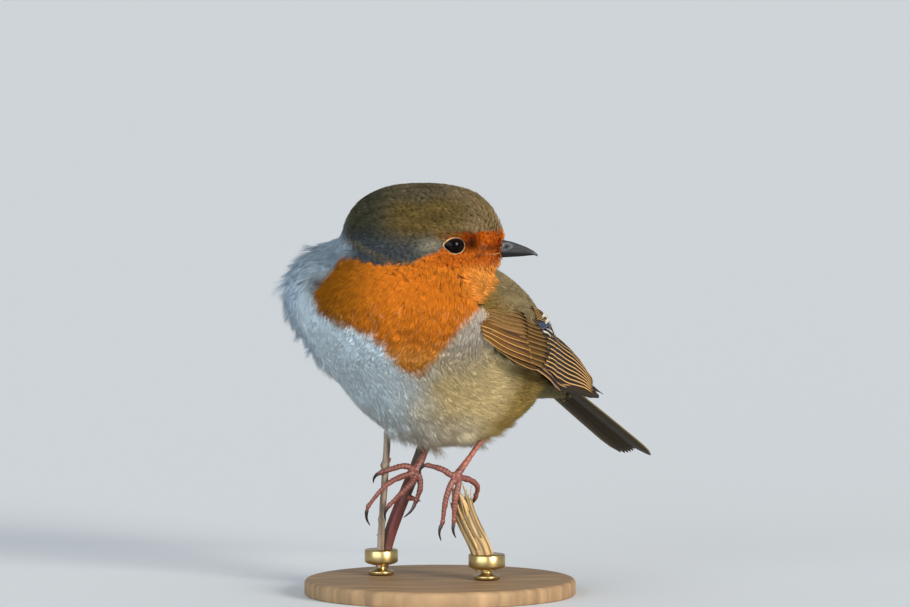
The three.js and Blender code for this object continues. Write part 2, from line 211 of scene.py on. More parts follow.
CROWN = linear(104, 92, 69)
CROWN_SIDE = linear(120, 96, 44)
CROWN_FRONT = linear(148, 124, 88)
NAPE = linear(74, 72, 55)
EAR = linear(68, 78, 86)
MANTLE = linear(157, 139, 102)
SHOULDER = linear(145, 117, 57)
FOREHEAD = linear(206, 100, 4)
RUST = linear(156, 62, 0)
# Near black for the dark lores, also used as painted shade beside the eye.
LORES_AND_PAINTED_SHADE = linear(52, 16, 0)
BROW = linear(136, 96, 44)
EAR_PATCH = linear(150, 142, 120)
ASH = linear(150, 150, 146)
CHEEK = linear(214, 112, 30)
CHIN = linear(255, 172, 78)
BREAST_ORANGE = linear(229, 134, 38)
BIB_LOW = linear(252, 178, 84)
BIB_TIP = linear(216, 138, 36)
# Painted shade: the bib's orange duller and darker on its left side.
BIB_PAINTED_SHADE = linear(166, 100, 20)
# Fluff white: the plumage's white, painted darker and bluer as cool sky shade.
WHITE_IN_PAINTED_SKY_SHADE = linear(200, 217, 231)
# Belly white: white plumage with a painted blue tint of cool sky shade.
BELLY_WHITE_PAINTED_SKY_TINT = linear(232, 247, 255)
BELLY_CREAM = linear(230, 238, 240)
FLANK_BUFF = linear(222, 200, 148)
FLANK_OLIVE = linear(172, 144, 80)
BREAST_GREY = linear(206, 194, 178)
VENT = linear(150, 138, 100)

# Edge of the orange on the head's right side, throat and breast, seen from the front.
ORANGE_EDGE = (
    (17.5, 92.0), (14.7, 91.9), (14.0, 90.8), (9.0, 90.5), (4.5, 90.7), (2.0, 90.6), (1.2, 88.4),
    (1.0, 86.8), (-0.6, 85.2), (-4.4, 83.5), (-7.6, 82.1), (-11.8, 82.5), (-16.8, 82.2),
    (-20.5, 83.2), (-24.3, 84.0), (-26.8, 81.5), (-29.3, 78.2), (-32.0, 75.0), (-31.0, 71.6),
    (-28.3, 68.2), (-24.0, 66.4), (-18.4, 64.6), (-15.0, 61.6), (-11.5, 58.5), (-7.7, 55.4),
    (-5.0, 53.4), (-1.6, 57.4), (1.4, 61.8), (4.6, 65.0), (7.8, 68.5), (10.6, 72.3),
    (13.4, 75.7), (15.2, 79.0), (16.8, 83.0), (19.0, 86.0), (19.0, 92.0),
)


def regions(points):
    """How far each point belongs to each region of the plumage, from 0 to 1."""
    f, l, z = body_place(points)
    hf, hl, hu = head_place(points)
    x, v = front_place(points).T
    round_head = np.sqrt((hf / 17.5) ** 2 + (hl / 14.5) ** 2 + ((hu - 1) / 15.5) ** 2)
    head = ease(1.22 - round_head, 0.0, 0.14) * ease(hu, -9.0, -5.0)
    fluff_side = ease(-x, 24.5, 27.0) * ease(v, 60.0, 66.0)
    head = head * (1 - fluff_side)
    bill_gap = np.linalg.norm((points - BILL_BASE) * (1.0, 1.0, 1.1), axis=1)
    back_line = np.interp(f, (-45, -33, -20, -5, 9, 14, 22, 30), (50, 53, 57, 59, 66, 74, 88, 94))
    under = ease(back_line - z, -1.2, 2.2)
    return {
        "head": head,
        "face": head * ease(11.5 - bill_gap, 0.0, 5.0),
        "under": under * (1 - head),
        "back": (1 - under) * (1 - head),
        "fluff": ease(-l, 9.0, 17.0) * ease(f, -4.0, 6.0) * ease(z, 56.0, 62.0) * under * (1 - head),
        "belly": ease(66.0 - z, 0.0, 8.0) * under * ease(f, -22.0, -8.0),
        "breast": ease(f, 4.0, 14.0) * ease(z, 56.0, 64.0) * under * (1 - head),
        "rump": ease(-f, 14.0, 26.0),
    }


def by_region(at, base, **levels):
    """A measure of the coat: a base value that each region in turn pulls to its own."""
    value = np.full(len(at["head"]), base)
    for region, level in levels.items():
        value = value + (level - value) * at[region]
    return value


def orange_share(points, normals):
    """Where the plumage is orange: the face, throat and bib."""
    hf, hl, hu = head_place(points)
    on_head = regions(points)["head"]
    on_far_side = (hl > 0) & (on_head > 0.3)
    mirrored = points - 2.0 * np.where(on_far_side, hl, 0.0)[:, None] * HEAD_LEFT
    place = front_place(mirrored)
    ragged = mottle(points, 2.6, 11) * 0.7 + mottle(points, 0.9, 12) * 0.7
    softness = 0.55 + 0.7 * ease(72.0 - place[:, 1], 0.0, 14.0)
    inside = inside_outline(place, ORANGE_EDGE) + ragged * (0.5 + softness * 0.5)
    share = ease(inside, -softness, softness)
    facing = ease(-(normals @ FRONT_IN), -0.45, -0.1)
    far_face = ease(hf, -1.0, 4.0) * ease(hu, -14.0, -10.0) * ease(on_head, 0.3, 0.6)
    f, l, _ = body_place(points)
    in_front = ease(f + 0.4 * l, 6.0, 10.0)
    near = np.where(on_head > 0.6, 1.0, facing * in_front)
    return share * np.where(on_far_side, far_face, near)


def plumage_colour(points, normals):
    """Colour of skin and coat at each point."""
    f, l, z = body_place(points)
    hf, hl, hu = head_place(points)
    x, v = front_place(points).T
    at = regions(points)
    cloud = mottle(points, 5.0, 21)
    fluff = at["fluff"] * ease(-x, 20.0, 24.0)
    under = layered(
        FLANK_BUFF,
        (FLANK_OLIVE, ease(-f + 3 * cloud, -3.0, 9.0)),
        (BREAST_GREY, ease(f, 4.0, 18.0) * ease(z, 52.0, 68.0)),
        (BELLY_CREAM, ease(2.0 * cloud - x, -3.0, 11.0) * ease(f, -8.0, 8.0)),
        (BELLY_WHITE_PAINTED_SKY_TINT, ease(2.5 * cloud - x, 6.5, 14.0) * ease(f, 2.0, 14.0) * ease(z, 38.0, 50.0)),
        (WHITE_IN_PAINTED_SKY_SHADE, fluff),
        # Painted shade: the fluff's white darker towards its top.
        (WHITE_IN_PAINTED_SKY_SHADE * 0.85, fluff * ease(z, 74.0, 82.0)),
        (ASH * 0.5, soft_spot(x, v, -30.5, 77.0, 3.6, 3.6)),
        (EAR, ease(z, 77.0, 80.5) * ease(x, -26.5, -24.0)),
        # Painted shadow: the flank darker just under the folded wing.
        (FLANK_OLIVE * 0.55, ease(-f, -4.0, 6.0) * ease(z, 51.0, 58.0) * ease(l, 8.0, 16.0)),
        (BELLY_CREAM, 0.3 * ease(49.0 - z, 0.0, 8.0) * ease(14.0 - x, 0.0, 8.0)),
        (VENT, ease(-f, 16.0, 26.0)),
    )
    eye_ahead, _, eye_up = head_place(EYES["right"][None])
    ahead, above = hf - eye_ahead, hu - eye_up
    side_of_crown = 0.75 * ease(14.0 - hu + cloud, 0.0, 4.0) * ease(hf, -15.0, -3.0)
    crown = layered(
        CROWN,
        (CROWN_FRONT, ease(hf, 0.0, 15.0)),
        (CROWN_SIDE, side_of_crown * ease(14.0 - hf, 0.0, 5.0)),
        (NAPE, ease(-hf, 4.0, 13.0)),
        (EAR, ease(5.0 - hu + 1.2 * cloud, -1.5, 5.0) * 0.85),
        (EAR_PATCH, soft_spot(ahead, above, -5.4, -0.2, 3.0, 2.1)),
        (BROW, soft_spot(ahead, above, -2.8, 2.6, 1.5, 1.3)),
    )
    turn = np.arctan2(hl, hu + 6.0) * 16.0
    streak = mottle(np.stack([hf * 0.22, turn * 1.25, hu * 0.0], axis=1), 1.0, 22)
    crown = crown * (1.0 + 0.26 * streak * ease(hu, -2.0, 4.0))[:, None]
    # Dark lores towards the bill, with painted shade just in front of the eye and under it.
    dark = np.maximum.reduce([
        soft_spot(ahead, above, 4.6, 0.5, 1.6, 1.9),
        0.22 * soft_spot(ahead, above, 0.6, -3.2, 3.2, 1.0),
        0.65 * soft_spot(ahead, above, 8.0, -0.9, 3.0, 0.75),
        0.7 * soft_spot(ahead, above, 6.4, -2.7, 1.1, 0.5),
    ])
    orange = layered(
        BREAST_ORANGE,
        (BIB_LOW, ease(64.0 - v, 0.0, 8.0)),
        (BIB_TIP, ease(59.5 - v, 0.0, 4.0)),
        # Painted shade: the orange darker towards the bib's left side.
        (BIB_PAINTED_SHADE, ease(-x, 12.0, 26.0)),
        (CHIN, ease(x, 4.0, 12.0) * ease(v, 70.0, 76.0)),
        (CHEEK, ease(hu, -5.5, -3.0) * ease(hf, -2.0, 6.0)),
        (RUST, ease(hu, -1.5, 2.0) * ease(hf, 4.0, 9.0)),
        (FOREHEAD, ease(ahead, 5.0, 8.0) * ease(above, -0.6, 0.8)),
        (BROW, 0.9 * soft_spot(ahead, above, 0.4, 3.0, 2.4, 1.1)),
        (LORES_AND_PAINTED_SHADE, dark),
    )
    fine = mottle(np.stack([hf * 0.5, hl, hu * 1.6], axis=1), 0.7, 23)
    orange = orange * (1.0 + (0.08 + 0.2 * at["face"]) * fine)[:, None]
    return layered(
        MANTLE,
        (SHOULDER, ease(f, 0.0, 14.0)),
        (under, at["under"]),
        # Painted shade: the fluff's white darker at its top beside the neck.
        (WHITE_IN_PAINTED_SKY_SHADE * 0.6, ease(-x, 21.0, 25.0) * ease(z, 80.0, 84.0) * ease(f, 0.0, 8.0)),
        (crown, at["head"]),
        (orange, orange_share(points, normals)),
    )


# ---- meshes


class Shape:
    """Points, faces, colours and map places gathered before they become one mesh."""

    def __init__(self):
        self.points, self.faces, self.colours, self.extras = [], [], [], []
        self.count = 0

    def add(self, points, faces, colours, extras=None):
        """Adds points with faces of one size, a colour for each point and a pair of numbers."""
        points = np.asarray(points, float).reshape(-1, 3)
        colours = np.broadcast_to(np.asarray(colours, float), (len(points), 3))
        extras = np.zeros((len(points), 2)) if extras is None else np.asarray(extras, float)
        self.points.append(points)
        self.colours.append(colours)
        self.extras.append(extras)
        self.faces.append(np.asarray(faces, np.int64) + self.count)
        self.count += len(points)

    def add_rings(self, points, colours, flip=False):
        """Adds a closed solid from rows of rings, with both ends covered."""
        rows, columns = points.shape[:2]
        ring = np.arange(columns)
        sides = grid_faces(rows, columns, closed=True)
        ends = np.array([ring[::-1], (rows - 1) * columns + ring])
        first = self.count
        self.add(points, sides[:, ::-1] if flip else sides, np.reshape(colours, (-1, 3)))
        self.faces.append((ends[:, ::-1] if flip else ends) + first)

    def mirrored(self):
        """The same shape on the body's other side."""
        other = Shape()
        points = np.concatenate(self.points)
        across = points @ BODY_LEFT - BODY_MIDDLE
        other.points = [points - 2.0 * across[:, None] * BODY_LEFT]
        other.colours, other.extras = self.colours, self.extras
        other.faces = [faces[:, ::-1] for faces in self.faces]
        other.count = self.count
        return other

    def build(self, name, material, map_name=None):
        """Makes the mesh object."""
        points = np.concatenate(self.points) * MM
        loops = np.concatenate([faces.ravel() for faces in self.faces]).astype(np.int32)
        sizes = np.concatenate([np.full(len(faces), faces.shape[1]) for faces in self.faces])
        starts = (np.cumsum(sizes) - sizes).astype(np.int32)
        mesh = bpy.data.meshes.new(name)
        mesh.vertices.add(len(points))
        mesh.vertices.foreach_set("co", points.astype(np.float32).ravel())
        mesh.loops.add(len(loops))
        mesh.loops.foreach_set("vertex_index", loops)
        mesh.polygons.add(len(starts))
        mesh.polygons.foreach_set("loop_start", starts)
        mesh.polygons.foreach_set("use_smooth", np.ones(len(starts), bool))
        tint = np.ones((len(points), 4), np.float32)
        tint[:, :3] = np.concatenate(self.colours)
        mesh.attributes.new("tint", "FLOAT_COLOR", "POINT").data.foreach_set("color", tint.ravel())
        extras = np.concatenate(self.extras).astype(np.float32)
        if map_name:
            layer = mesh.uv_layers.new(name=map_name)
            layer.data.foreach_set("uv", extras[loops].ravel())
        else:
            grain = mesh.attributes.new("grain", "FLOAT2", "POINT")
            grain.data.foreach_set("vector", extras.ravel())
        mesh.update(calc_edges=True)
        mesh.validate()
        mesh.materials.append(material)
        return placed(name, mesh)


def grid_faces(rows, columns, closed=False):
    """Four-sided faces of a grid of points, row by row. Closed joins last column to first."""
    wide = columns if closed else columns - 1
    row, column = np.meshgrid(np.arange(rows - 1), np.arange(wide), indexing="ij")
    following = (column + 1) % columns
    first = row * columns + column
    second = row * columns + following
    return np.stack([first, second, second + columns, first + columns], axis=-1).reshape(-1, 4)


def face_normals(points, faces):
    """Area-weighted normal of each face."""
    if faces.shape[1] == 4:
        a, b, c, d = (points[column] for column in faces.T)
        return np.cross(c - a, d - b)
    a, b, c = (points[column] for column in faces.T)
    return np.cross(b - a, c - a)


def corner_normals(points, faces):
    """Smooth normal at each point."""
    each = face_normals(points, faces)
    total = np.zeros_like(points)
    for column in faces.T:
        for axis in range(3):
            total[:, axis] += np.bincount(column, each[:, axis], len(points))
    return unit(total)


def smoothed(values, faces, times, back=0.0):
    """Evens values out over a mesh. Back swells it again after each step."""
    values = np.array(values, float)
    flat = values.ndim == 1
    values = values[:, None] if flat else values
    ahead, behind = faces.T.ravel(), np.roll(faces, -1, axis=1).T.ravel()
    near, far = np.concatenate([ahead, behind]), np.concatenate([behind, ahead])
    meeting = np.maximum(np.bincount(near, minlength=len(values)), 1)
    for _ in range(times):
        for weight in (0.5, -back) if back else (0.5,):
            sums = [np.bincount(near, column[far], len(values)) for column in values.T]
            mean = np.stack([each / meeting for each in sums], axis=1)
            values = values + weight * (mean - values)
    return values[:, 0] if flat else values


def placed(name, data):
    """An object put into the scene."""
    thing = bpy.data.objects.new(name, data)
    bpy.context.scene.collection.objects.link(thing)
    return thing


def joined(parts):
    """Points and faces of several meshes as those of one."""
    shifts = np.cumsum([0] + [len(points) for points, _ in parts[:-1]])
    return (np.concatenate([points for points, _ in parts]),
            np.concatenate([faces + shift for (_, faces), shift in zip(parts, shifts)]))


def shrink_wrapped(parts, voxel, times, back):
    """One closed mesh round several closed ones, evened out."""
    mesh = bpy.data.meshes.new("form")
    points, faces = joined(parts)
    mesh.from_pydata(points.tolist(), [], faces.tolist())
    rough = placed("form", mesh)
    remesh = rough.modifiers.new("remesh", "REMESH")
    remesh.mode = "VOXEL"
    remesh.voxel_size = voxel
    evaluated = rough.evaluated_get(bpy.context.evaluated_depsgraph_get())
    wrapped = evaluated.to_mesh()
    points = read_rows(wrapped.vertices, "co", 3).astype(float)
    faces = read_rows(wrapped.loops, "vertex_index", 1, np.int32).reshape(-1, 4).astype(np.int64)
    evaluated.to_mesh_clear()
    bpy.data.objects.remove(rough)
    bpy.data.meshes.remove(mesh)
    return smoothed(points, faces, times, back), faces


def grown(node, amount):
    """A CAD node's closed mesh swollen by that much."""
    points, faces = welded(node)
    return points + corner_normals(points, faces) * amount, faces


def cubic(a, b, c, d, t):
    """Smooth run from b to c, with a before and d after them."""
    return 0.5 * (2 * b + (c - a) * t + (2 * a - 5 * b + 4 * c - d) * t ** 2
                  + (3 * b - a - 3 * c + d) * t ** 3)


def curve_through(points, count):
    """Points along a smooth line through the given ones."""
    points = np.asarray(points, float)
    ends = np.concatenate([[2 * points[0] - points[1]], points, [2 * points[-1] - points[-2]]])
    share = np.linspace(0, len(points) - 1, count)
    low = np.minimum(share.astype(int), len(points) - 2)
    return cubic(*(ends[low + i] for i in range(4)), (share - low)[:, None])


def tangents(line):
    """Direction of a line at each of its points."""
    return unit(np.gradient(line, axis=0))


class Surface:
    """A closed mesh that points can be settled on."""

    def __init__(self, points, faces):
        self.points = points
        self.faces = faces
        self.normals = corner_normals(points, faces)
        self.tree = BVHTree.FromPolygons(points.tolist(), faces.tolist())

    def nearest(self, places):
        """Nearest points on the surface and their smooth normals."""
        spots = np.empty((len(places), 3))
        faces = np.empty(len(places), int)
        for row, place in enumerate(places):
            spot, _, face, _ = self.tree.find_nearest(Vector(place))
            spots[row] = spot
            faces[row] = face
        return spots, unit(self.normals[self.faces[faces]].mean(axis=1))

    def blocked(self, places, directions, reach):
        """Whether a straight way out from each place meets this surface."""
        return np.array([self.tree.ray_cast(Vector(place), Vector(way), reach)[0] is not None
                         for place, way in zip(places, directions)])


def node_surface(nodes):
    """The CAD nodes as one surface."""
    return Surface(*joined([welded(node) for node in nodes]))


# ---- materials


def new_material(name, roughness, **sockets):
    """A material, its node tree and its shader with constants set by socket name."""
    material = bpy.data.materials.new(name)
    material.use_nodes = True
    shader = material.node_tree.nodes["Principled BSDF"]
    shader.inputs["Roughness"].default_value = roughness
    for socket, value in sockets.items():
        shader.inputs[socket.replace("_", " ")].default_value = value
    return material, material.node_tree, shader


def add_node(tree, kind, **values):
    """A shader node, with its sockets linked or set and its other settings given by name."""
    node = tree.nodes.new("ShaderNode" + kind)
    for name, value in values.items():
        socket = node.inputs.get(name.replace("_", " "))
        if socket is None:
            setattr(node, name, value)
        elif isinstance(value, bpy.types.NodeSocket):
            tree.links.new(value, socket)
        else:
            socket.default_value = value
    return node


def add_tint(tree, shader, strength):
    """Feeds the mesh's own colour into the shader, scaled by a strength."""
    tint = add_node(tree, "Attribute", attribute_name="tint")
    scaled = add_node(tree, "VectorMath", operation="SCALE", Vector=tint.outputs["Color"], Scale=strength)
    tree.links.new(scaled.outputs["Vector"], shader.inputs["Base Color"])


def add_ramp(tree, shader, factor, dark, light, start=0.0, end=1.0):
    """Feeds a run between two colours into the shader."""
    ramp = add_node(tree, "ValToRGB", Fac=factor)
    for stop, place, colour in zip(ramp.color_ramp.elements, (start, end), (dark, light)):
        stop.position = place
        stop.color = (*colour, 1)
    tree.links.new(ramp.outputs["Color"], shader.inputs["Base Color"])


def add_noise(tree, scale, detail=3.0, stretch=None):
    """A noise texture over the object's own coordinates."""
    where = add_node(tree, "TexCoord").outputs["Object"]
    if stretch:
        where = add_node(tree, "Mapping", Vector=where, Scale=stretch).outputs["Vector"]
    return add_node(tree, "TexNoise", Vector=where, Scale=scale, Detail=detail).outputs["Fac"]


def add_bump(tree, shader, height, strength, distance):
    """Feeds a height into the shader's normal."""
    bump = add_node(tree, "Bump", Height=height, Strength=strength, Distance=distance)
    tree.links.new(bump.outputs["Normal"], shader.inputs["Normal"])


def tinted_material(name, roughness, speckle, scale, bump=0.0, stretch=None, **sockets):
    """Takes its colour from the mesh, broken up by a fine noise."""
    material, tree, shader = new_material(name, roughness, **sockets)
    noise = add_noise(tree, scale, stretch=stretch)
    ramp = add_node(tree, "MapRange", Value=noise, From_Min=0.3, From_Max=0.7, To_Min=1.0 - speckle,
                    To_Max=1.0 + speckle)
    add_tint(tree, shader, ramp.outputs["Result"])
    if bump:
        add_bump(tree, shader, noise, 1.0, bump * MM)
    return material


def vane_material(name, roughness):
    """Flight feather: the mesh's colour with fine slanting barbs."""
    material = tinted_material(name, roughness, 0.1, 900.0, Specular_IOR_Level=0.08)
    tree = material.node_tree
    grain = add_node(tree, "Attribute", attribute_name="grain")
    split = add_node(tree, "SeparateXYZ", Vector=grain.outputs["Vector"])
    wave = add_node(tree, "Math", operation="SINE", Value=split.outputs["X"])
    add_bump(tree, tree.nodes["Principled BSDF"], wave.outputs[0], 0.12, 0.02 * MM)
    return material


# ---- body form and skin

FLESH = ("head", "neck", "trunk")
WING_NODES = tuple(f"wing_{side}_{panel}" for panel in ("coverts", "secondaries", "primaries")
                   for side in SIDES)
SHOULDER_PANELS = WING_NODES[:4]
# Forms that several steps use, each made once.
made = {}


def coat_depth(points):
    """How thick the plumage is over the skin."""
    at = regions(points)
    depth = by_region(at, 1.9, back=1.7, belly=2.3, fluff=3.4, head=0.9, face=0.55)
    return depth + (1.4 - depth) * at["rump"] * (1 - at["belly"])


def drawn_in(points):
    """How far the coat is drawn in below the belly and between the two locks of the breast's side."""
    x, v = front_place(points).T
    side = 1.4 * ease(v, 56.0, 62.0) + (0.1 + 1.1 * np.exp(-((v - 79.6) / 1.4) ** 2)) * ease(v, 76.0, 79.0)
    return 0.9 * ease(50.0 - points[:, 2], 0.0, 8.0) + side * ease(-x, 24.5, 31.0)


def body_form():
    """The body's outer form over flesh and shoulders, where the coat's tips lie."""
    if "form" not in made:
        parts = [grown(node, 0.35) for node in FLESH + SHOULDER_PANELS]
        parts += [grown(f"eye_{side}", 0.3) for side in SIDES]
        made["form"] = Surface(*shrink_wrapped(parts, voxel=1.0, times=26, back=0.505))
    return made["form"]


def coat_floor():
    """The surface that tufts are laid over: under the coat, but over the folded wings."""
    if "floor" not in made:
        form = body_form()
        over_wing = node_surface(WING_NODES).blocked(form.points - form.normals * 3.0, form.normals, 5.5)
        depth = np.where(over_wing, -0.3, coat_depth(form.points) + drawn_in(form.points))
        depth = smoothed(depth, form.faces, times=6)
        made["floor"] = Surface(form.points - form.normals * depth[:, None], form.faces)
    return made["floor"]


def build_skin(settings):
    """One skin for head, neck and trunk, with the lids."""
    parts = [grown(node, 0.35) for node in FLESH]
    parts += [grown(f"eye_{side}", 0.2) for side in SIDES]
    points, faces = shrink_wrapped(parts, voxel=1.0, times=24, back=0.505)
    normals = corner_normals(points, faces)
    depth = smoothed(coat_depth(points) + drawn_in(points) + 0.3, faces, times=4)
    points = smoothed(points - normals * depth[:, None], faces, times=3)
    for eye in EYES.values():
        away = points - eye
        reach = np.linalg.norm(away, axis=1)
        sunk = np.where(reach < EYE_RADIUS + 2.0, np.minimum(reach, EYE_RADIUS - 0.5), reach)
        sunk = np.where(gap_from_eyes(points) < 1.2, sunk, reach)
        points = eye + away * (sunk / np.maximum(reach, 1e-6))[:, None]
    shape = Shape()
    shape.add(points, faces, plumage_colour(points, normals) * 0.9)
    for side in SIDES:
        add_eyelids(shape, side)
    finish = tinted_material("bird skin", roughness=0.6, speckle=0.12, scale=700.0, bump=0.15)
    skin = shape.build("skin", finish)
    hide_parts(*FLESH)
    return skin


# ---- eyes and lids

EYE_OPENING = (2.36, 1.98)


def eye_axes(side):
    """Outward, forward and up directions of an eye."""
    outward = HEAD_LEFT if side == "left" else -HEAD_LEFT
    tipped = unit(outward + 0.42 * HEAD_FORWARD + 0.02 * UP)
    forward = unit(HEAD_FORWARD - dots(HEAD_FORWARD, tipped) * tipped)
    upward = unit(UP - dots(UP, tipped) * tipped - dots(UP, forward) * forward)
    return tipped, forward, upward


def opening_reach(angle):
    """Half size of the eye's opening at an angle from straight ahead, with a pointed rear corner."""
    across, tall = EYE_OPENING
    round_reach = 1.0 / np.sqrt((np.cos(angle) / across) ** 2 + (np.sin(angle) / tall) ** 2)
    rear = np.exp(-((np.abs(angle) - math.pi) / 0.34) ** 2)
    brow = np.exp(-((angle - 1.65) / 0.8) ** 2)
    return round_reach + 0.42 * rear - 0.2 * brow


def add_eyelids(shape, side):
    """Adds the ring of lid folds round one eye, with a pale feathered rim."""
    outward, forward, upward = eye_axes(side)
    angle = circle(96, -math.pi)
    reach = opening_reach(angle)
    dark, rim = linear(20, 14, 12), linear(226, 172, 108)
    # Distance outside the opening, height over the eyeball and colour, or None for the plumage's own.
    folds = ((-0.14, 0.02, dark), (0.04, 0.14, dark), (0.12, 0.23, rim), (0.2, 0.26, rim),
             (0.3, 0.21, rim), (0.39, 0.06, None), (0.9, -0.35, None), (1.5, -1.0, None))
    rings = []
    tints = []
    for away, rise, tint in folds:
        around = reach + away
        seat = np.sqrt(np.maximum(EYE_RADIUS ** 2 - np.minimum(around, 2.75) ** 2, 0.2)) + 0.05
        beads = 0.04 * np.sin(angle * 34) if 0.05 < away < 0.4 else 0.0
        level = seat + rise + beads
        ring = (EYES[side] + outward * level[:, None] + forward * (np.cos(angle) * around)[:, None]
                + upward * (np.sin(angle) * around)[:, None])
        rings.append(ring)
        if tint is None:
            tints.append(plumage_colour(ring, np.tile(outward, (len(angle), 1))) * 0.8)
        elif tint is rim:
            # Painted shade: the pale rim darker and browner along its top, under the upper lid.
            tints.append(blend(rim, linear(120, 70, 30), 0.85 * np.exp(-((angle - 1.35) / 0.95) ** 2)))
        else:
            tints.append(np.tile(tint, (len(angle), 1)))
    faces = grid_faces(len(folds), len(angle), closed=True)
    shape.add(np.concatenate(rings), faces[:, ::-1] if side == "right" else faces, np.concatenate(tints))


def build_eyes(settings):
    """Both eyeballs: glossy, near black, with a faint brown iris."""
    pieces = []
    material, tree, shader = new_material("eye gloss", 0.06, Specular_IOR_Level=0.07)
    add_tint(tree, shader, add_noise(tree, 1500.0))
    polar, around = np.meshgrid(np.linspace(0.002, math.pi - 0.002, 49), circle(64), indexing="ij")
    radius = EYE_RADIUS * (1.0 + 0.02 * np.exp(-(polar / 0.5) ** 2))
    iris = ease(polar, 0.3, 0.36) * ease(0.72 - polar, 0.0, 0.1)
    for side in SIDES:
        outward, forward, upward = eye_axes(side)
        points = (EYES[side]
                  + outward * (radius * np.cos(polar))[..., None]
                  + forward * (radius * np.sin(polar) * np.cos(around))[..., None]
                  + upward * (radius * np.sin(polar) * np.sin(around))[..., None])
        shape = Shape()
        shape.add_rings(points, blend(linear(5, 4, 5), linear(26, 15, 9), iris))
        eye = shape.build(f"eyeball_{side}", material)
        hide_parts(f"eye_{side}")
        pieces.append(eye)
    return pieces


# ---- lie and length of the coat


def lie(points, normals):
    """Direction in which the coat lies at each point, along the surface."""
    f, l, z = body_place(points)
    at = regions(points)
    _, _, hu = head_place(points)
    head_way = unit(points - BILL_BASE) - (0.2 + 0.75 * ease(-hu, 1.0, 9.0))[:, None] * UP
    breast_way = unit(unit(points - BREAST_FAN) - 0.1 * BODY_FORWARD)
    low = ease(52.0 - z, 0.0, 10.0)[:, None]
    belly_way = unit(-0.75 * BODY_FORWARD - UP * (0.75 - 0.45 * low))
    outward = ease(np.abs(l), 2.0, 12.0) * np.sign(l) * 0.3
    way = layered(
        -BODY_FORWARD - 0.22 * UP,
        (belly_way, at["belly"] * ease(f, 4.0, 18.0)),
        (breast_way, at["breast"] * ease(z, 54.0, 66.0)),
        (-BODY_FORWARD - 0.4 * UP + outward[:, None] * BODY_LEFT, at["back"]),
        (head_way, at["head"]),
    )
    turn = mottle(points, 4.0, 31) * 0.22 + mottle(points, 1.5, 32) * (0.12 + 0.3 * at["fluff"])
    way = way + np.cross(normals, way) * turn[:, None]
    return unit(way - dots(way, normals)[:, None] * normals)


def tuft_length(points):
    """Length of the coat's tufts."""
    return by_region(regions(points), 6.8, back=6.0, belly=7.6, breast=6.2, fluff=7.8, head=3.6, face=1.55)


def tuft_lift(points):
    """How far tufts stand off at their tips, as a share of the coat's depth."""
    f, l, z = body_place(points)
    at = regions(points)
    locks = ease(mottle(points, 1.1, 35), -0.1, 0.4)
    low = ease(49.0 - z, 0.0, 8.0) * (0.15 + 0.75 * locks) * (1 - ease(-f, 20.0, 28.0))
    edge = ease(-l, 11.0, 18.0) * at["fluff"] * (0.05 + 0.6 * locks)
    rough = 1.0 + 0.8 * mottle(points, 3.0, 33)
    return (low + 0.05 * at["fluff"]) * rough + edge


def tuft_spacing(points):
    """Distance between neighbouring tufts."""
    return by_region(regions(points), 1.13, head=0.8, face=0.58)


# Places tried for each tuft that is kept, and cells to look for its neighbours in, wider than any gap.
TRIES = 5.0
CELL = 2.4


def scatter(surface, spacing_at, density, rng):
    """Random places on a surface that keep their distance from each other."""
    quads = surface.faces
    normals = face_normals(surface.points, quads)
    area = np.linalg.norm(normals, axis=1) / 2
    centres = surface.points[quads].mean(axis=1)
    spacing = spacing_at(centres) / math.sqrt(density)
    weight = area / spacing ** 2
    count = int(weight.sum() * TRIES)
    chosen = rng.choice(len(quads), count, p=weight / weight.sum())
    u, w = rng.uniform(size=(2, count, 1))
    a, b, c, d = (surface.points[quads[chosen, i]] for i in range(4))
    places = (a * (1 - u) + b * u) * (1 - w) + (d * (1 - u) + c * u) * w
    near = spacing[chosen]
    kept = []
    cells = {}
    keys = np.floor(places / CELL).astype(int)
    around = [tuple(step) for step in np.array(list(np.ndindex(3, 3, 3))) - 1]
    for i in range(count):
        x, y, z = places[i]
        kx, ky, kz = keys[i]
        gap = near[i] ** 2
        others = (other for dx, dy, dz in around for other in cells.get((kx + dx, ky + dy, kz + dz), ()))
        if all((ox - x) ** 2 + (oy - y) ** 2 + (oz - z) ** 2 >= gap for ox, oy, oz in others):
            cells.setdefault((kx, ky, kz), []).append((x, y, z))
            kept.append(i)
    return places[kept], unit(surface.normals[quads[chosen[kept]]].mean(axis=1))


def map_places(points):
    """Places on an unwrap of the skin's own shape: the head's chart above the body's."""
    hf, hl, hu = head_place(points)
    f, l, z = body_place(points)
    reach = np.sqrt(hf ** 2 + hl ** 2 + hu ** 2) + 1e-9
    head = np.stack([np.arctan2(hl, hf) / (2 * math.pi) + 0.5, 0.8 + 0.09 * (hu / reach + 1)], axis=1)
    height = z - 64.0
    reach = np.sqrt(f ** 2 + l ** 2 + (height * 1.2) ** 2) + 1e-9
    turn = np.arctan2(height * 1.2, l) / (2 * math.pi) + 0.5
    body = np.stack([turn, 0.02 + 0.37 * (f / reach + 1)], axis=1)
    on_head = regions(points)["head"] > 0.5
    return np.where(on_head[:, None], head, body) * 0.98 + 0.01


def lay_tufts(surface, roots, normals, lengths):
    """Walks each tuft over the surface along the lie of the coat, from a little way behind its root."""
    third = (lengths / 3)[:, None]
    way = lie(roots, normals)
    back = surface.nearest(roots - way * third)
    spots, facing = [back[0], roots], [back[1], normals]
    for _ in range(2):
        ahead = spots[-1] + lie(spots[-1], facing[-1]) * third
        spot, normal = surface.nearest(ahead)
        spots.append(spot)
        facing.append(normal)
    return np.stack(spots, axis=1), np.stack(facing, axis=1)


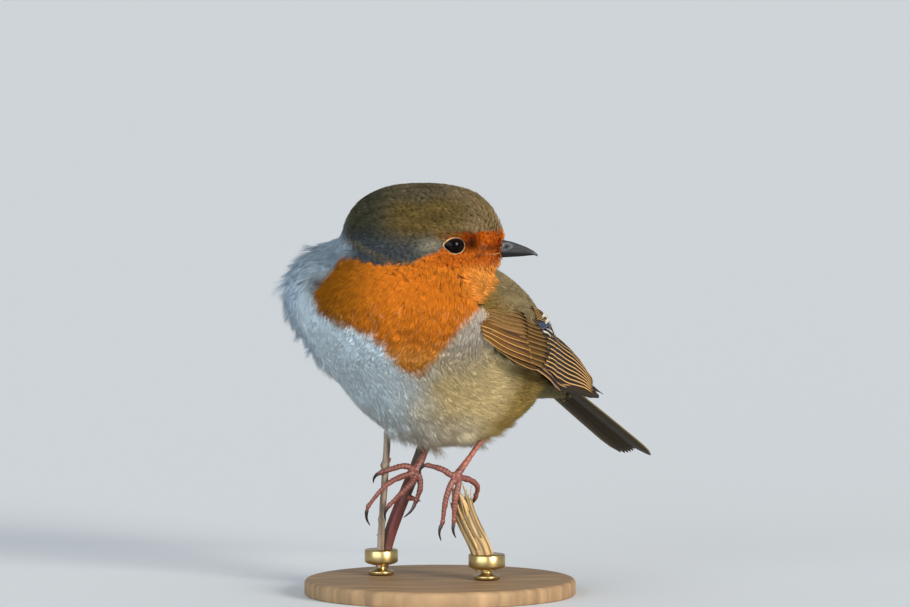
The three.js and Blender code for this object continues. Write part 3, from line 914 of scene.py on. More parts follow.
def along_path(path, share):
    """Points at shares of the way along each path."""
    steps = path.shape[1] - 1
    at = np.clip(share, 0.0, 0.9999) * steps
    low = at.astype(int)
    part = (at - low)[..., None]
    rows = np.arange(len(path))[:, None]
    return path[rows, low] * (1 - part) + path[rows, low + 1] * part


# Share of a barb's length at which it is widest, and half size of a tuft's patch on the map.
WIDEST = 0.45
MAP_PATCH = 0.0014


def barbs(path, facing, depth, lifts, spec, roots, brightness, rng):
    """Closed slender barbs that make up the tufts."""
    tufts = len(path)
    count = spec["barbs"]
    u = (np.arange(count) + rng.uniform(0.1, 0.9, (tufts, count))) / count * 2 - 1
    u = u[:, rng.permutation(count)]
    start = rng.uniform(0.0, 0.35, (tufts, count))
    end = rng.uniform(0.6, 1.05, (tufts, count)) - 0.1 * u ** 2
    spread = spec["spread"]
    layer = rng.uniform(-0.16, 0.05, (tufts, count)) + rng.uniform(-0.06, 0.04, (tufts, 1))
    stray = rng.normal(0, 0.14, (tufts, count))
    proud = np.where(rng.uniform(0, 1, (tufts, 1)) < 0.2, 1.5, rng.uniform(0.4, 1.0, (tufts, 1)))
    lift = lifts[:, None] * proud * rng.uniform(0.8, 1.15, (tufts, count))
    lift = lift + spec["fray"] * rng.uniform(0, 1, (tufts, count)) ** 3
    way = unit(path[:, -1:] - path[:, :1])
    centres = []
    for stop in (0.0, WIDEST, 1.0):
        share = start + (end - start) * stop
        base = along_path(path, share)
        normal = unit(along_path(facing, share))
        side = unit(np.cross(way, normal))
        width = spread * (0.8 + 0.35 * stop - (0.35 + spec["clump"]) * stop ** 2)
        across = (u * width + stray * stop * spread)[..., None]
        rise = 0.97 - 0.97 * (1 - np.minimum(share, 1.0)) ** 2.4
        rise = rise + layer * (0.5 + 0.5 * stop) + lift * stop ** 2
        height = np.maximum(depth[:, None] * rise, -0.2)
        if stop == 0.0:
            height = np.minimum(height, depth[:, None] * 0.1) - 0.25
        centres.append(base + side * across + normal * height[..., None])
    way = unit(centres[-1] - centres[0])
    normal = unit(along_path(facing, np.full((tufts, count), 0.5)))
    side = unit(np.cross(normal, way))
    normal = np.cross(way, side)
    roll = rng.uniform(-0.6, 0.6, (tufts, count, 1))
    wide = side * np.cos(roll) + normal * np.sin(roll)
    thick = normal * np.cos(roll) - side * np.sin(roll)
    half = spec["half"] * rng.uniform(0.7, 1.3, (tufts, count, 1))
    root, belly, tip = centres
    rows = [root, belly + wide * half, belly + thick * half * 0.6, belly - wide * half, tip]
    points = np.stack(rows, axis=2)
    faces = np.array([(0, 2, 1), (0, 3, 2), (0, 1, 3), (4, 1, 2), (4, 2, 3), (4, 3, 1)])
    faces = (faces[None] + (np.arange(tufts * count) * 5)[:, None, None]).reshape(-1, 3)
    seen = (centres[1] * 0.4 + centres[2] * 0.6).reshape(-1, 3)
    seen_facing = unit(along_path(facing, np.full((tufts, count), 0.7))).reshape(-1, 3)
    colours = plumage_colour(seen, seen_facing).reshape(tufts, count, 1, 3) * brightness
    pale = rng.uniform(0, 1, (tufts, count, 1, 1)) < spec.get("pale", 0.0)
    colours = np.where(pale, colours * 0.3 + BREAST_GREY * 0.7, colours)
    fleck = spec["fleck"]
    tone = rng.uniform(0.94, 1.06, (tufts, 1)) * rng.uniform(1 - fleck, 1 + fleck, (tufts, count))
    level = np.array((0.0, WIDEST, WIDEST, WIDEST, 1.0))
    deep = (0.85 + 0.15 * np.minimum(level / WIDEST, 1.0))[:, None]
    tint = colours * tone[..., None, None] * deep
    shift = np.stack(np.broadcast_arrays(u[..., None], level * 2 - 1), axis=-1) * MAP_PATCH
    places = map_places(roots)[:, None, None, :] + shift
    return points.reshape(-1, 3), faces, tint.reshape(-1, 3), places.reshape(-1, 2)


# How far forward, and the height above which the coat covers the folded wings there.
COAT_EDGE = ((-50, -39, -32, -24, -16, -10, -7, -4, 1, 10, 15, 19),
             (56.0, 60.4, 64.2, 66.4, 69.2, 72.3, 73.0, 71.2, 68.8, 68.8, 67.0, 60.0))

# Barbs in a tuft, their half width, the tuft's spread and narrowing at its tip, the stray lift of its
# barbs, how flecked they are, and the share of barbs that are pale.
COAT = {
    "coat_face": dict(barbs=16, half=0.046, spread=0.5, clump=0.1, fray=0.08, fleck=0.16),
    "coat_crown": dict(barbs=28, half=0.048, spread=0.8, clump=0.1, fray=0.03, fleck=0.2),
    "coat_nape": dict(barbs=28, half=0.048, spread=0.9, clump=0.1, fray=0.04, fleck=0.18),
    "coat_throat": dict(barbs=54, half=0.05, spread=1.35, clump=0.05, fray=0.05, fleck=0.1),
    "coat_bib": dict(barbs=56, half=0.052, spread=1.4, clump=0.08, fray=0.1, fleck=0.1, pale=0.02),
    "coat_fluff": dict(barbs=60, half=0.056, spread=1.2, clump=0.78, fray=0.15, fleck=0.1),
    "coat_belly": dict(barbs=52, half=0.056, spread=1.5, clump=0.3, fray=0.3, fleck=0.12),
    "coat_flank_left": dict(barbs=48, half=0.056, spread=1.5, clump=0.2, fray=0.25, fleck=0.2),
    "coat_flank_right": dict(barbs=48, half=0.056, spread=1.5, clump=0.2, fray=0.25, fleck=0.2),
    "coat_mantle": dict(barbs=34, half=0.056, spread=1.35, clump=0.1, fray=0.05, fleck=0.22),
    "coat_rump": dict(barbs=36, half=0.058, spread=1.4, clump=0.2, fray=0.1, fleck=0.2),
}


def zone_of(points):
    """Name of the coat piece that each tuft belongs to."""
    f, l, z = body_place(points)
    hf, _, _ = head_place(points)
    at = regions(points)
    zone = np.where(l > 0, "coat_flank_left", "coat_flank_right").astype(object)
    zone[at["belly"] * ease(f, 2.0, 6.0) * (np.abs(l) < 15) > 0.5] = "coat_belly"
    zone[at["back"] > 0.5] = "coat_mantle"
    zone[(f < -17.0)] = "coat_rump"
    zone[at["breast"] > 0.5] = "coat_bib"
    zone[(at["breast"] > 0.5) & (z > 74.0)] = "coat_throat"
    zone[at["fluff"] > 0.5] = "coat_fluff"
    zone[at["head"] > 0.5] = "coat_nape"
    zone[(at["head"] > 0.5) & (hf > -3.0)] = "coat_crown"
    zone[at["face"] > 0.5] = "coat_face"
    return zone


def gap_from_eyes(points):
    """Distance outside the nearer eye's lids, as seen from beside the head."""
    gaps = []
    for side in SIDES:
        out, ahead, rise = ((points - EYES[side]) @ axis for axis in eye_axes(side))
        gap = np.hypot(ahead, rise) - opening_reach(np.arctan2(rise, ahead))
        gaps.append(np.where(out > 0, gap, 9.0))
    return np.minimum(*gaps)


def clear_of_eyes(points):
    """Moves barbs that would lie over an eye out to the rim of its lids."""
    for side in SIDES:
        axes = eye_axes(side)
        out, ahead, rise = ((points - EYES[side]) @ axis for axis in axes)
        gap = np.hypot(ahead, rise)
        limit = opening_reach(np.arctan2(rise, ahead)) + 0.3
        near = (out > 0) & (gap < limit)
        scale = np.where(near, limit / np.maximum(gap, 1e-6), 1.0)
        out = np.where(near, np.minimum(out, math.sqrt(EYE_RADIUS ** 2 - 2.5 ** 2) + 0.4), out)
        moved = EYES[side] + axes[0] * out[:, None]
        moved = moved + axes[1] * (ahead * scale)[:, None] + axes[2] * (rise * scale)[:, None]
        points = np.where(near[:, None], moved, points)
    return points


def build_coat(settings):
    """The plumage of head, neck and trunk, as joined meshes of barbs."""
    rng = np.random.default_rng(7)
    surface = coat_floor()
    density = settings.coat_density
    roots, normals = scatter(surface, tuft_spacing, density, rng)
    wings = node_surface(WING_NODES)
    covered = wings.blocked(roots - normals * 3.0, normals, 6.5)
    f, _, z = body_place(roots)
    hidden = covered & (z < np.interp(f, *COAT_EDGE))
    bill = node_surface(("bill_upper", "bill_lower"))
    bill_gap = np.linalg.norm(bill.nearest(roots)[0] - roots, axis=1)
    gape = np.concatenate([gape_line(side) for side in (1, -1)])
    gape_gap = np.linalg.norm(roots[:, None] - gape[None], axis=2).min(axis=1)
    keep = ~hidden & (gap_from_eyes(roots) > -0.05) & (bill_gap > 0.25) & (gape_gap > 0.45)
    roots, normals = roots[keep], normals[keep]
    lengths = tuft_length(roots) * rng.uniform(0.85, 1.15, len(roots))
    lengths = lengths * (1.0 - 0.65 * ease(-body_place(roots)[0], 34.0, 40.0))
    path, facing = lay_tufts(surface, roots, normals, lengths)
    shown = along_path(path, np.full((len(roots), 1), 0.7))[:, 0]
    depth = coat_depth(roots + normals * 1.5)
    lifts = tuft_lift(roots)
    zones = zone_of(shown)
    material = tinted_material("plumage", roughness=0.85, speckle=0.06, scale=1400.0,
                               Specular_IOR_Level=0.05)
    pieces = []
    for name, spec in COAT.items():
        rows = np.nonzero(zones == name)[0]
        if len(rows) == 0:
            raise RuntimeError(f"{name} has no tufts")
        points, faces, tint, places = barbs(path[rows], facing[rows], depth[rows], lifts[rows], spec,
                                            roots[rows], settings.brightness, rng)
        if name in ("coat_face", "coat_crown", "coat_nape"):
            points = clear_of_eyes(points)
        if len(faces) > COAT_LIMIT:
            raise RuntimeError(f"{name} has {len(faces)} triangles, over {COAT_LIMIT}")
        shape = Shape()
        shape.add(points, faces, tint, places)
        piece = shape.build(name, material, "OFBake")
        pieces.append(piece)
    return pieces


# ---- flight feathers

# Places across a feather, from inner to outer edge, and distance between the barbs of its web.
VANE_COLUMNS = np.array((-1, -0.94, -0.8, -0.5, -0.2, -0.07, 0, 0.07, 0.2, 0.5, 0.7, 0.82, 0.87, 1.0))
BARB_GAP = 0.42


def add_blade(shape, spots, out, level, t, width, line, tint, ridge, thickness, thinning, gap):
    """Adds a feather's thin closed blade round a grid of spots, with a raised shaft."""
    s = VANE_COLUMNS[None, :]
    shaft = ridge * np.exp(-(s / 0.1) ** 2) * (1 - 0.7 * t[:, None])
    body = thickness * np.sqrt(np.clip(1 - s ** 2, 0.0, 1.0)) * (1 - thinning * t[:, None])
    top = spots + out * (level + shaft + body / 2 + gap)[..., None]
    bottom = spots + out * (level - body / 2 - gap)[..., None]
    rows, columns = top.shape[:2]
    faces = [grid_faces(rows, columns * 2, closed=True)[:, ::-1]]
    near, base = np.arange(columns - 1), (rows - 1) * columns * 2
    far = columns * 2 - 1 - near
    faces.append(np.stack([near, near + 1, far - 1, far], axis=1))
    faces.append(np.stack([far, far - 1, near + 1, near], axis=1) + base)
    length = np.linalg.norm(np.diff(line, axis=0), axis=1).sum()
    t_grid, s_grid = np.meshgrid(t, VANE_COLUMNS, indexing="ij")
    shade = tint(t_grid, s_grid)
    shade = np.concatenate([shade, shade[:, ::-1] * 0.85], axis=1)
    phase = (t_grid * length - np.abs(s_grid) * width[:, None] * 1.3) * (2 * math.pi / BARB_GAP)
    grain = np.stack([np.concatenate([phase, phase[:, ::-1]], axis=1)] * 2, axis=-1)
    loop = np.concatenate([top, bottom[:, ::-1]], axis=1)
    shape.add(loop, np.concatenate(faces), shade.reshape(-1, 3), grain.reshape(-1, 2))


def vane(shape, line, facing, half_width, tint, tip, camber, rows):
    """One tail feather along a line. The positive side is the outer web."""
    line = curve_through(line, rows)
    along = tangents(line)
    across = unit(np.cross(along, facing))
    out = unit(np.cross(across, along))
    t = np.linspace(0, 1, rows)
    root = np.sqrt(np.clip(t / 0.12, 0.0, 1.0)) * 0.75 + 0.25
    round_tip = np.sqrt(np.clip(1 - ((t - (1 - tip)) / tip).clip(0, 1) ** 2, 0.0, 1.0))
    width = half_width * root * np.maximum(round_tip, 0.06)
    s = VANE_COLUMNS[None, :]
    spots = line[:, None] + across[:, None] * (s * width[:, None])[..., None]
    arch = camber * width[:, None] * (1 - s ** 2)
    add_blade(shape, spots, out[:, None], arch, t, width, line, tint, ridge=0.1, thickness=0.16,
              thinning=0.5, gap=0.02)


def feather_tint(web, edge, seed, edge_from, inner=None, tip=None, fringe=None):
    """Colours of one feather: a web, a pale outer edge and, where asked, a tip of its own."""
    tone = np.random.default_rng(seed).uniform(0.88, 1.12)

    def tint(t, s):
        layers = ((inner, ease(-s, -0.3, 0.4)), (edge, (s > edge_from).astype(float)),
                  (web * 0.55, np.exp(-(s / 0.05) ** 2) * 0.6), (tip, ease(t, 0.86, 0.91)),
                  (fringe, ease(t, 0.965, 0.985)))
        return layered(web * tone, *(layer for layer in layers if layer[0] is not None))

    return tint


# Cross sections of the left folded wing from shoulder to tip. Each gives how far forward it is,
# then left and height of four places from its lower edge, over its face, to its inner edge.
WING_SECTIONS = (
    (18.0, (26.6, 64.6), (26.8, 66.6), (26.2, 69.0), (25.0, 71.0)),
    (12.0, (28.0, 63.4), (28.3, 66.4), (27.6, 70.0), (25.6, 73.0)),
    (4.0, (30.0, 60.4), (30.2, 64.4), (28.7, 69.5), (24.6, 74.0)),
    (-3.0, (29.8, 57.8), (29.8, 62.2), (27.9, 67.1), (23.4, 73.4)),
    (-10.0, (27.2, 55.2), (27.4, 60.2), (25.4, 65.8), (19.5, 72.0)),
    (-16.0, (23.4, 53.0), (23.6, 58.4), (21.6, 64.4), (14.5, 69.5)),
    (-24.0, (18.6, 51.0), (18.7, 56.6), (16.7, 62.2), (9.0, 66.8)),
    (-32.0, (14.6, 49.5), (14.7, 54.6), (13.0, 59.6), (6.2, 63.8)),
    (-39.0, (11.4, 48.3), (11.4, 52.2), (10.0, 56.2), (4.9, 60.0)),
    (-45.0, (9.3, 47.2), (9.3, 49.2), (8.5, 51.6), (5.0, 54.6)),
    (-51.0, (8.2, 46.4), (8.2, 47.2), (8.0, 48.2), (6.6, 49.6)),
)


def through(table, share):
    """Smooth values along each row's own list of points, at shares from 0 to 1."""
    count = table.shape[1]
    at = share * (count - 1)
    low = np.clip(np.floor(at).astype(int), 0, count - 2)
    t = (at - low)[:, None]
    rows = np.arange(len(table))
    b = table[rows, low]
    c = table[rows, low + 1]
    a = np.where((low > 0)[:, None], table[rows, np.maximum(low - 1, 0)], 2 * b - c)
    d = np.where((low < count - 2)[:, None], table[rows, np.minimum(low + 2, count - 1)], 2 * c - b)
    beyond = np.where(t < 0, b + (c - b) * t, c + (c - b) * (t - 1))
    return np.where((t < 0) | (t > 1), beyond, cubic(a, b, c, d, t))


def wing_sections(forward):
    """The four places of the wing's cross section at each place along the body."""
    stations = np.array([section[0] for section in WING_SECTIONS])
    places = np.array([section[1:] for section in WING_SECTIONS]).reshape(len(stations), 8)
    share = np.interp(-forward, -stations, np.linspace(0, 1, len(stations)))
    table = np.broadcast_to(places, (len(forward), *places.shape))
    return through(table, share).reshape(-1, 4, 2)


def wing_spot(forward, share):
    """Points on the left wing's face: share runs from its lower edge to its inner edge."""
    left, height = through(wing_sections(forward), share).T
    return np.stack([forward, left + BODY_MIDDLE, height], axis=1) @ np.array((BODY_FORWARD, BODY_LEFT, UP))


def wing_share(forward, height):
    """Share up the wing's face at which it has a height."""
    steps = np.linspace(-0.4, 1.0, 141)
    found = []
    for f, z in zip(forward, height):
        column = through(np.repeat(wing_sections(np.array((f,))), len(steps), axis=0), steps)[:, 1]
        found.append(np.interp(z, column, steps))
    return np.array(found)


def wing_vane(shape, places, half_width, tint, layer, tip, tilt=0.28, hang=0.0, rows=22, by_height=False,
              arch=0.0, point=0.5):
    """A feather laid on the wing's face along places of forward and share (or height)."""
    places = np.array(places, float)
    share = wing_share(places[:, 0], places[:, 1]) if by_height else places[:, 1]
    line = curve_through(np.stack([places[:, 0], share], axis=1), rows)
    t = np.linspace(0, 1, rows)
    step = 0.01
    rise = np.linalg.norm(wing_spot(line[:, 0], line[:, 1] + step) - wing_spot(line[:, 0], line[:, 1]),
                          axis=1) / step
    back = -np.gradient(line[:, 0])
    up = np.gradient(line[:, 1]) * rise
    run = np.hypot(back, up)
    root = np.sqrt(np.clip(t / 0.1, 0.0, 1.0)) * 0.7 + 0.3
    round_tip = np.clip(1 - ((t - (1 - tip)) / tip).clip(0, 1) ** 2.4, 0.0, 1.0) ** point
    width = half_width * root * np.maximum(round_tip, 0.05)
    s = VANE_COLUMNS[None, :]
    shift = (s - hang) * width[:, None]
    forward = (line[:, :1] - shift * (up / run)[:, None]).ravel()
    across = (line[:, 1:] - shift * (back / run / rise)[:, None]).ravel()
    spots = wing_spot(forward, across)
    out = unit(np.cross(wing_spot(forward, across + step) - spots, wing_spot(forward - 0.2, across) - spots))
    out = out * np.sign(out @ (BODY_LEFT + 0.3 * UP))[:, None]
    spots, out = spots.reshape(rows, -1, 3), out.reshape(rows, -1, 3)
    level = layer + tilt * s + arch * np.sin(math.pi * t[:, None])
    add_blade(shape, spots, out, level, t, width, spots[:, len(VANE_COLUMNS) // 2], tint, ridge=0.09,
              thickness=0.12, thinning=0.4, gap=0.015)


DARK_WEB = linear(46, 34, 22)
BROWN_WEB = linear(90, 64, 34)
OLIVE_WEB = linear(116, 88, 46)
BUFF_EDGE = linear(204, 158, 96)
PALE_EDGE = linear(206, 184, 146)
CHESTNUT = linear(106, 70, 27)
PURPLE_BROWN = linear(80, 60, 52)
PINK_BROWN = linear(116, 86, 50)
# Painted reflection: blue-grey sky sheen on a curled feather's inner web.
PAINTED_SKY_SHEEN = linear(70, 82, 104)


def fan(first, last, count):
    """Lines that step evenly from a first line to a last one."""
    shares = np.linspace(0, 1, count)[:, None, None]
    return np.array(first, float) * (1 - shares) + np.array(last, float) * shares


def lay_row(shape, lines, half_width, level, step, tint_of, **form):
    """Lays feathers beside each other on the wing, each a step higher than the last."""
    for i, line in enumerate(lines):
        wing_vane(shape, line, half_width, tint_of(i), level + step * i, **form)


def wing_feathers(ruffled):
    """The left wing's feathers, gathered for each of its three CAD panels."""
    coverts, secondaries, primaries = Shape(), Shape(), Shape()

    # Primaries: dark and long, under everything else, the longest making the wing's tip.
    lay_row(primaries, fan(((-8.0, 0.2), (-20.0, 0.16), (-34.0, 0.14), (-50.5, 0.5)),
                           ((0.0, 0.1), (-10.0, 0.06), (-18.0, 0.05), (-27.0, 0.06)), 8),
            1.6, -0.5, 0.06,
            lambda i: feather_tint(DARK_WEB * 0.7, PURPLE_BROWN if i < 6 else BUFF_EDGE * 0.6, 100 + i, 0.8),
            hang=0.9, tip=0.35)
    lay_row(primaries, fan(((2.0, 0.12), (-8.0, 0.1), (-20.0, 0.1)),
                           ((4.0, 0.0), (-6.0, -0.02), (-22.0, -0.03)), 3),
            1.4, 0.1, -0.15,
            lambda i: feather_tint(PURPLE_BROWN, BUFF_EDGE * 0.75 if i == 2 else DARK_WEB, 120 + i, 0.8),
            hang=1.0, tip=0.35)

    # Secondaries: each shows a buff outer edge below the one that lies over it.
    lay_row(secondaries, fan(((2.0, 0.69), (-16.0, 0.67), (-30.0, 0.66), (-44.6, 0.66)),
                             ((2.0, 0.05), (-16.0, 0.13), (-30.0, 0.13), (-44.0, 0.2)), 9),
            1.9, 0.7, -0.06, lambda i: feather_tint(DARK_WEB * 0.5, BUFF_EDGE, 140 + i, 0.84),
            tilt=0.14, hang=1.0, tip=0.12, rows=28)
    # Tertials: broad, over the wing's inner side.
    tertials = (
        ((4.0, 0.8), (-14.0, 0.8), (-28.0, 0.78), (-42.5, 0.74)),
        ((-2.0, 0.88), (-14.0, 0.9), (-26.0, 0.88), (-38.5, 0.84)),
        ((-5.0, 0.96), (-13.0, 0.97), (-22.0, 0.97), (-33.0, 0.96)),
        ((-12.0, 1.0), (-17.0, 1.02), (-22.0, 1.04), (-29.0, 1.05)),
    )
    lay_row(secondaries, tertials, 2.2, 0.75, 0.1,
            lambda i: feather_tint(BROWN_WEB * 0.45, BUFF_EDGE * 0.7, 160 + i, 0.84, inner=BROWN_WEB * 0.6),
            tilt=0.16, hang=0.7, tip=0.34, rows=26)
    if ruffled:
        # Finely barred upper feathers beside the back, and the pale curled ones behind them.
        lay_row(coverts, fan(((-4.0, 0.92), (-8.5, 0.9), (-13.5, 0.89)),
                             ((-4.0, 0.79), (-8.0, 0.77), (-12.5, 0.77)), 7),
                0.5, 2.5, -0.06, lambda i: feather_tint(DARK_WEB * 0.6, BUFF_EDGE * 1.1, 170 + i, 0.45),
                hang=1.0, tip=0.3, rows=14)

        # Painted reflection: the curled feather's web striped with the sky's blue-grey sheen.
        def painted_sheen_tint(t, s):
            return blend(PAINTED_SKY_SHEEN, PAINTED_SKY_SHEEN * 0.25, 0.8 * (0.5 + 0.5 * np.sin(s * 14.0 + t * 4.0)))

        wing_vane(coverts, ((-5.0, 0.73), (-12.0, 0.78), (-18.5, 0.65)), 1.3, painted_sheen_tint, 0.9, tilt=-0.1,
                  tip=0.7, rows=24, arch=1.3, point=0.9)
        white = linear(192, 188, 176)
        tint = feather_tint(white, white, 181, 0.3)
        for places, half, arch in ((((-6.0, 0.78), (-12.5, 0.86), (-18.8, 0.67)), 0.34, 2.3),
                                   (((-4.0, 0.67), (-8.0, 0.67), (-12.0, 0.64)), 0.22, 0.5),
                                   (((-8.0, 0.75), (-11.5, 0.8), (-15.5, 0.8)), 0.4, 2.1)):
            wing_vane(coverts, places, half, tint, 0.9, tilt=-0.05, tip=0.7, rows=18, arch=arch, point=0.8)

    # Greater coverts: dark centres, brown edges and a stepped dark end line with a pale fringe.
    mid = ((8.0, 67.8), (2.0, 66.0), (-8.2, 63.6))
    lines = [*fan(((8.0, 71.2), (2.5, 70.2), (-4.5, 69.0)), mid, 6)[:-1],
             *fan(mid, ((8.0, 62.6), (3.0, 60.6), (-5.0, 57.9)), 6)]
    lay_row(coverts, lines, 0.95, 1.75, -0.06,
            lambda i: feather_tint(BROWN_WEB * (0.62 if i % 2 else 0.8), OLIVE_WEB * 1.1, 190 + i, 0.5,
                                   tip=DARK_WEB * 0.5, fringe=PALE_EDGE),
            hang=1.0, tip=0.12, rows=18, by_height=True)
    # Median coverts.
    lay_row(coverts, fan(((16.0, 73.6), (9.0, 72.4), (2.0, 70.4)),
                         ((15.0, 68.4), (9.5, 66.8), (3.0, 64.8)), 9),
            0.85, 2.3, -0.05,
            lambda i: feather_tint(PINK_BROWN * (0.75 if i % 2 else 1.0), PINK_BROWN * 1.6, 210 + i, 0.84,
                                   inner=BROWN_WEB),
            hang=1.0, tip=0.3, rows=16, by_height=True)

    # Broad chestnut feathers along the wing's lower front edge, dark along the middle.
    def broad_tint(t, s):
        return layered(
            CHESTNUT * (0.86 + 0.14 * np.sin(s * 21.0 + t * 5.0))[..., None],
            (PURPLE_BROWN * 0.5, ease(t, 0.3, 0.62) * ease(0.55 - np.abs(s + 0.15), 0.0, 0.4)),
            (BUFF_EDGE * 0.8, ((s > 0.84) | (t > 0.97)).astype(float)),
            (CHESTNUT * 0.4, np.exp(-(s / 0.06) ** 2) * 0.7),
        )

    tint = feather_tint(BROWN_WEB * 0.6, BUFF_EDGE * 0.6, 231, 0.84)
    wing_vane(coverts, ((12.0, 65.6), (6.0, 61.8), (-1.5, 58.4)), 1.2, tint, 1.0, tip=0.3, rows=18,
              by_height=True)
    lay_row(coverts, fan(((16.0, 69.4), (10.0, 67.4), (3.0, 64.6)),
                         ((15.6, 67.0), (9.8, 64.0), (1.0, 60.0)), 4),
            1.05, 2.2, -0.12, lambda i: broad_tint, tilt=0.14, hang=0.6, tip=0.34, by_height=True)
    panels = {"coverts": coverts, "secondaries": secondaries, "primaries": primaries}
    for panel, shape in panels.items():
        shape.add(*grown(f"wing_left_{panel}", -0.12), DARK_WEB)
    return panels


def build_wings(settings):
    """Both folded wings, feather by feather."""
    material = vane_material("flight feather", 0.55)
    pieces = []
    left, right = wing_feathers(True), wing_feathers(False)
    for panel in left:
        for side, side_shape in (("left", left[panel]), ("right", right[panel].mirrored())):
            piece = side_shape.build(f"feathers_{side}_{panel}", material)
            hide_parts(f"wing_{side}_{panel}")
            pieces.append(piece)
    return pieces


def build_tail(settings):
    """Twelve tail feathers, fanned a little, with the outer pair lowest."""
    points = corners("tail")
    centre = points.mean(axis=0)
    _, _, (back, across, above) = np.linalg.svd(points - centre)
    back = back * np.sign(dots(back, -BODY_FORWARD))
    across = across * np.sign(dots(across, BODY_LEFT))
    above = np.cross(across, back)
    above = above * np.sign(above[2])
    spans = (points - centre) @ np.stack([back, across, above]).T
    low, high = spans.min(axis=0), spans.max(axis=0)
    half = (high[1] - low[1]) / 2
    shape = Shape()

    def place(along, aside, level):
        return centre + back * along + across * aside + above * level

    for side in (1, -1):
        for i, past_end in enumerate((1.2, 1.9, 2.2, 2.4, 2.3, 1.7)):
            share = (i + 0.5) / 6
            away = side * (half - 2.0) * share
            level = 0.8 - 1.3 * share
            line = (place(low[0], away * 0.35, level),
                    place((low[0] + high[0]) / 2, away * 0.8, level - 0.1),
                    place(high[0] + past_end, away, level - 0.25))
            web = linear(64, 48, 16)
            edge = linear(92, 76, 40) if i < 5 else linear(150, 134, 102)
            tint = feather_tint(web, edge, 300 + i, 0.8, inner=web * 0.6)
            vane(shape, line, above * side, 2.2, tint, tip=0.14, camber=-0.1 * side, rows=22)
    # Under tail coverts.
    for side in (1, -1):
        for i in range(4):
            away = side * (0.9 + 1.5 * i)
            line = (place(low[0] - 3.0, away * 1.2, -2.6 - 0.3 * i),
                    place(low[0] + 9.0, away, -1.9 - 0.1 * i),
                    place(low[0] + 21.0 - 3.5 * i, away * 0.8, -1.3))
            tint = feather_tint(VENT * 0.75, VENT, 330 + i, 0.7)
            vane(shape, line, -above * side, 1.8, tint, tip=0.4, camber=0.1 * side, rows=16)
    tail = shape.build("feathers_tail", vane_material("tail feather", 0.5))
    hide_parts("tail")
    return tail


# ---- bill


def loft(shape, centres, along, widths, tops, bottoms, colours, columns):
    """A closed skin of oval sections. Colours is a function of row share, angle and points."""
    share, angle = np.meshgrid(np.linspace(0, 1, len(centres)), circle(columns), indexing="ij")
    rise = np.sin(angle)
    high = rise * np.where(rise > 0, tops[:, None], bottoms[:, None])
    across = np.cos(angle) * widths[:, None]
    points = centres[:, None] + unit(np.cross(UP, along)) * across[..., None] + UP * high[..., None]
    shape.add_rings(points, colours(share, angle, points), flip=True)


def gape_line(side):
    """The corner of the mouth, from the cheek to the bill, on one side."""
    t = np.linspace(0, 1, 14)
    line = HEAD_CENTRE + HEAD_FORWARD * (13.8 + 7.4 * t)[:, None]
    line = line + HEAD_LEFT * side * (7.0 - 3.0 * t)[:, None]
    line[:, 2] = 86.8 + 0.3 * t
    spots, normals = body_form().nearest(line)
    spots[:, 2] = line[:, 2]
    return spots + normals * 0.05


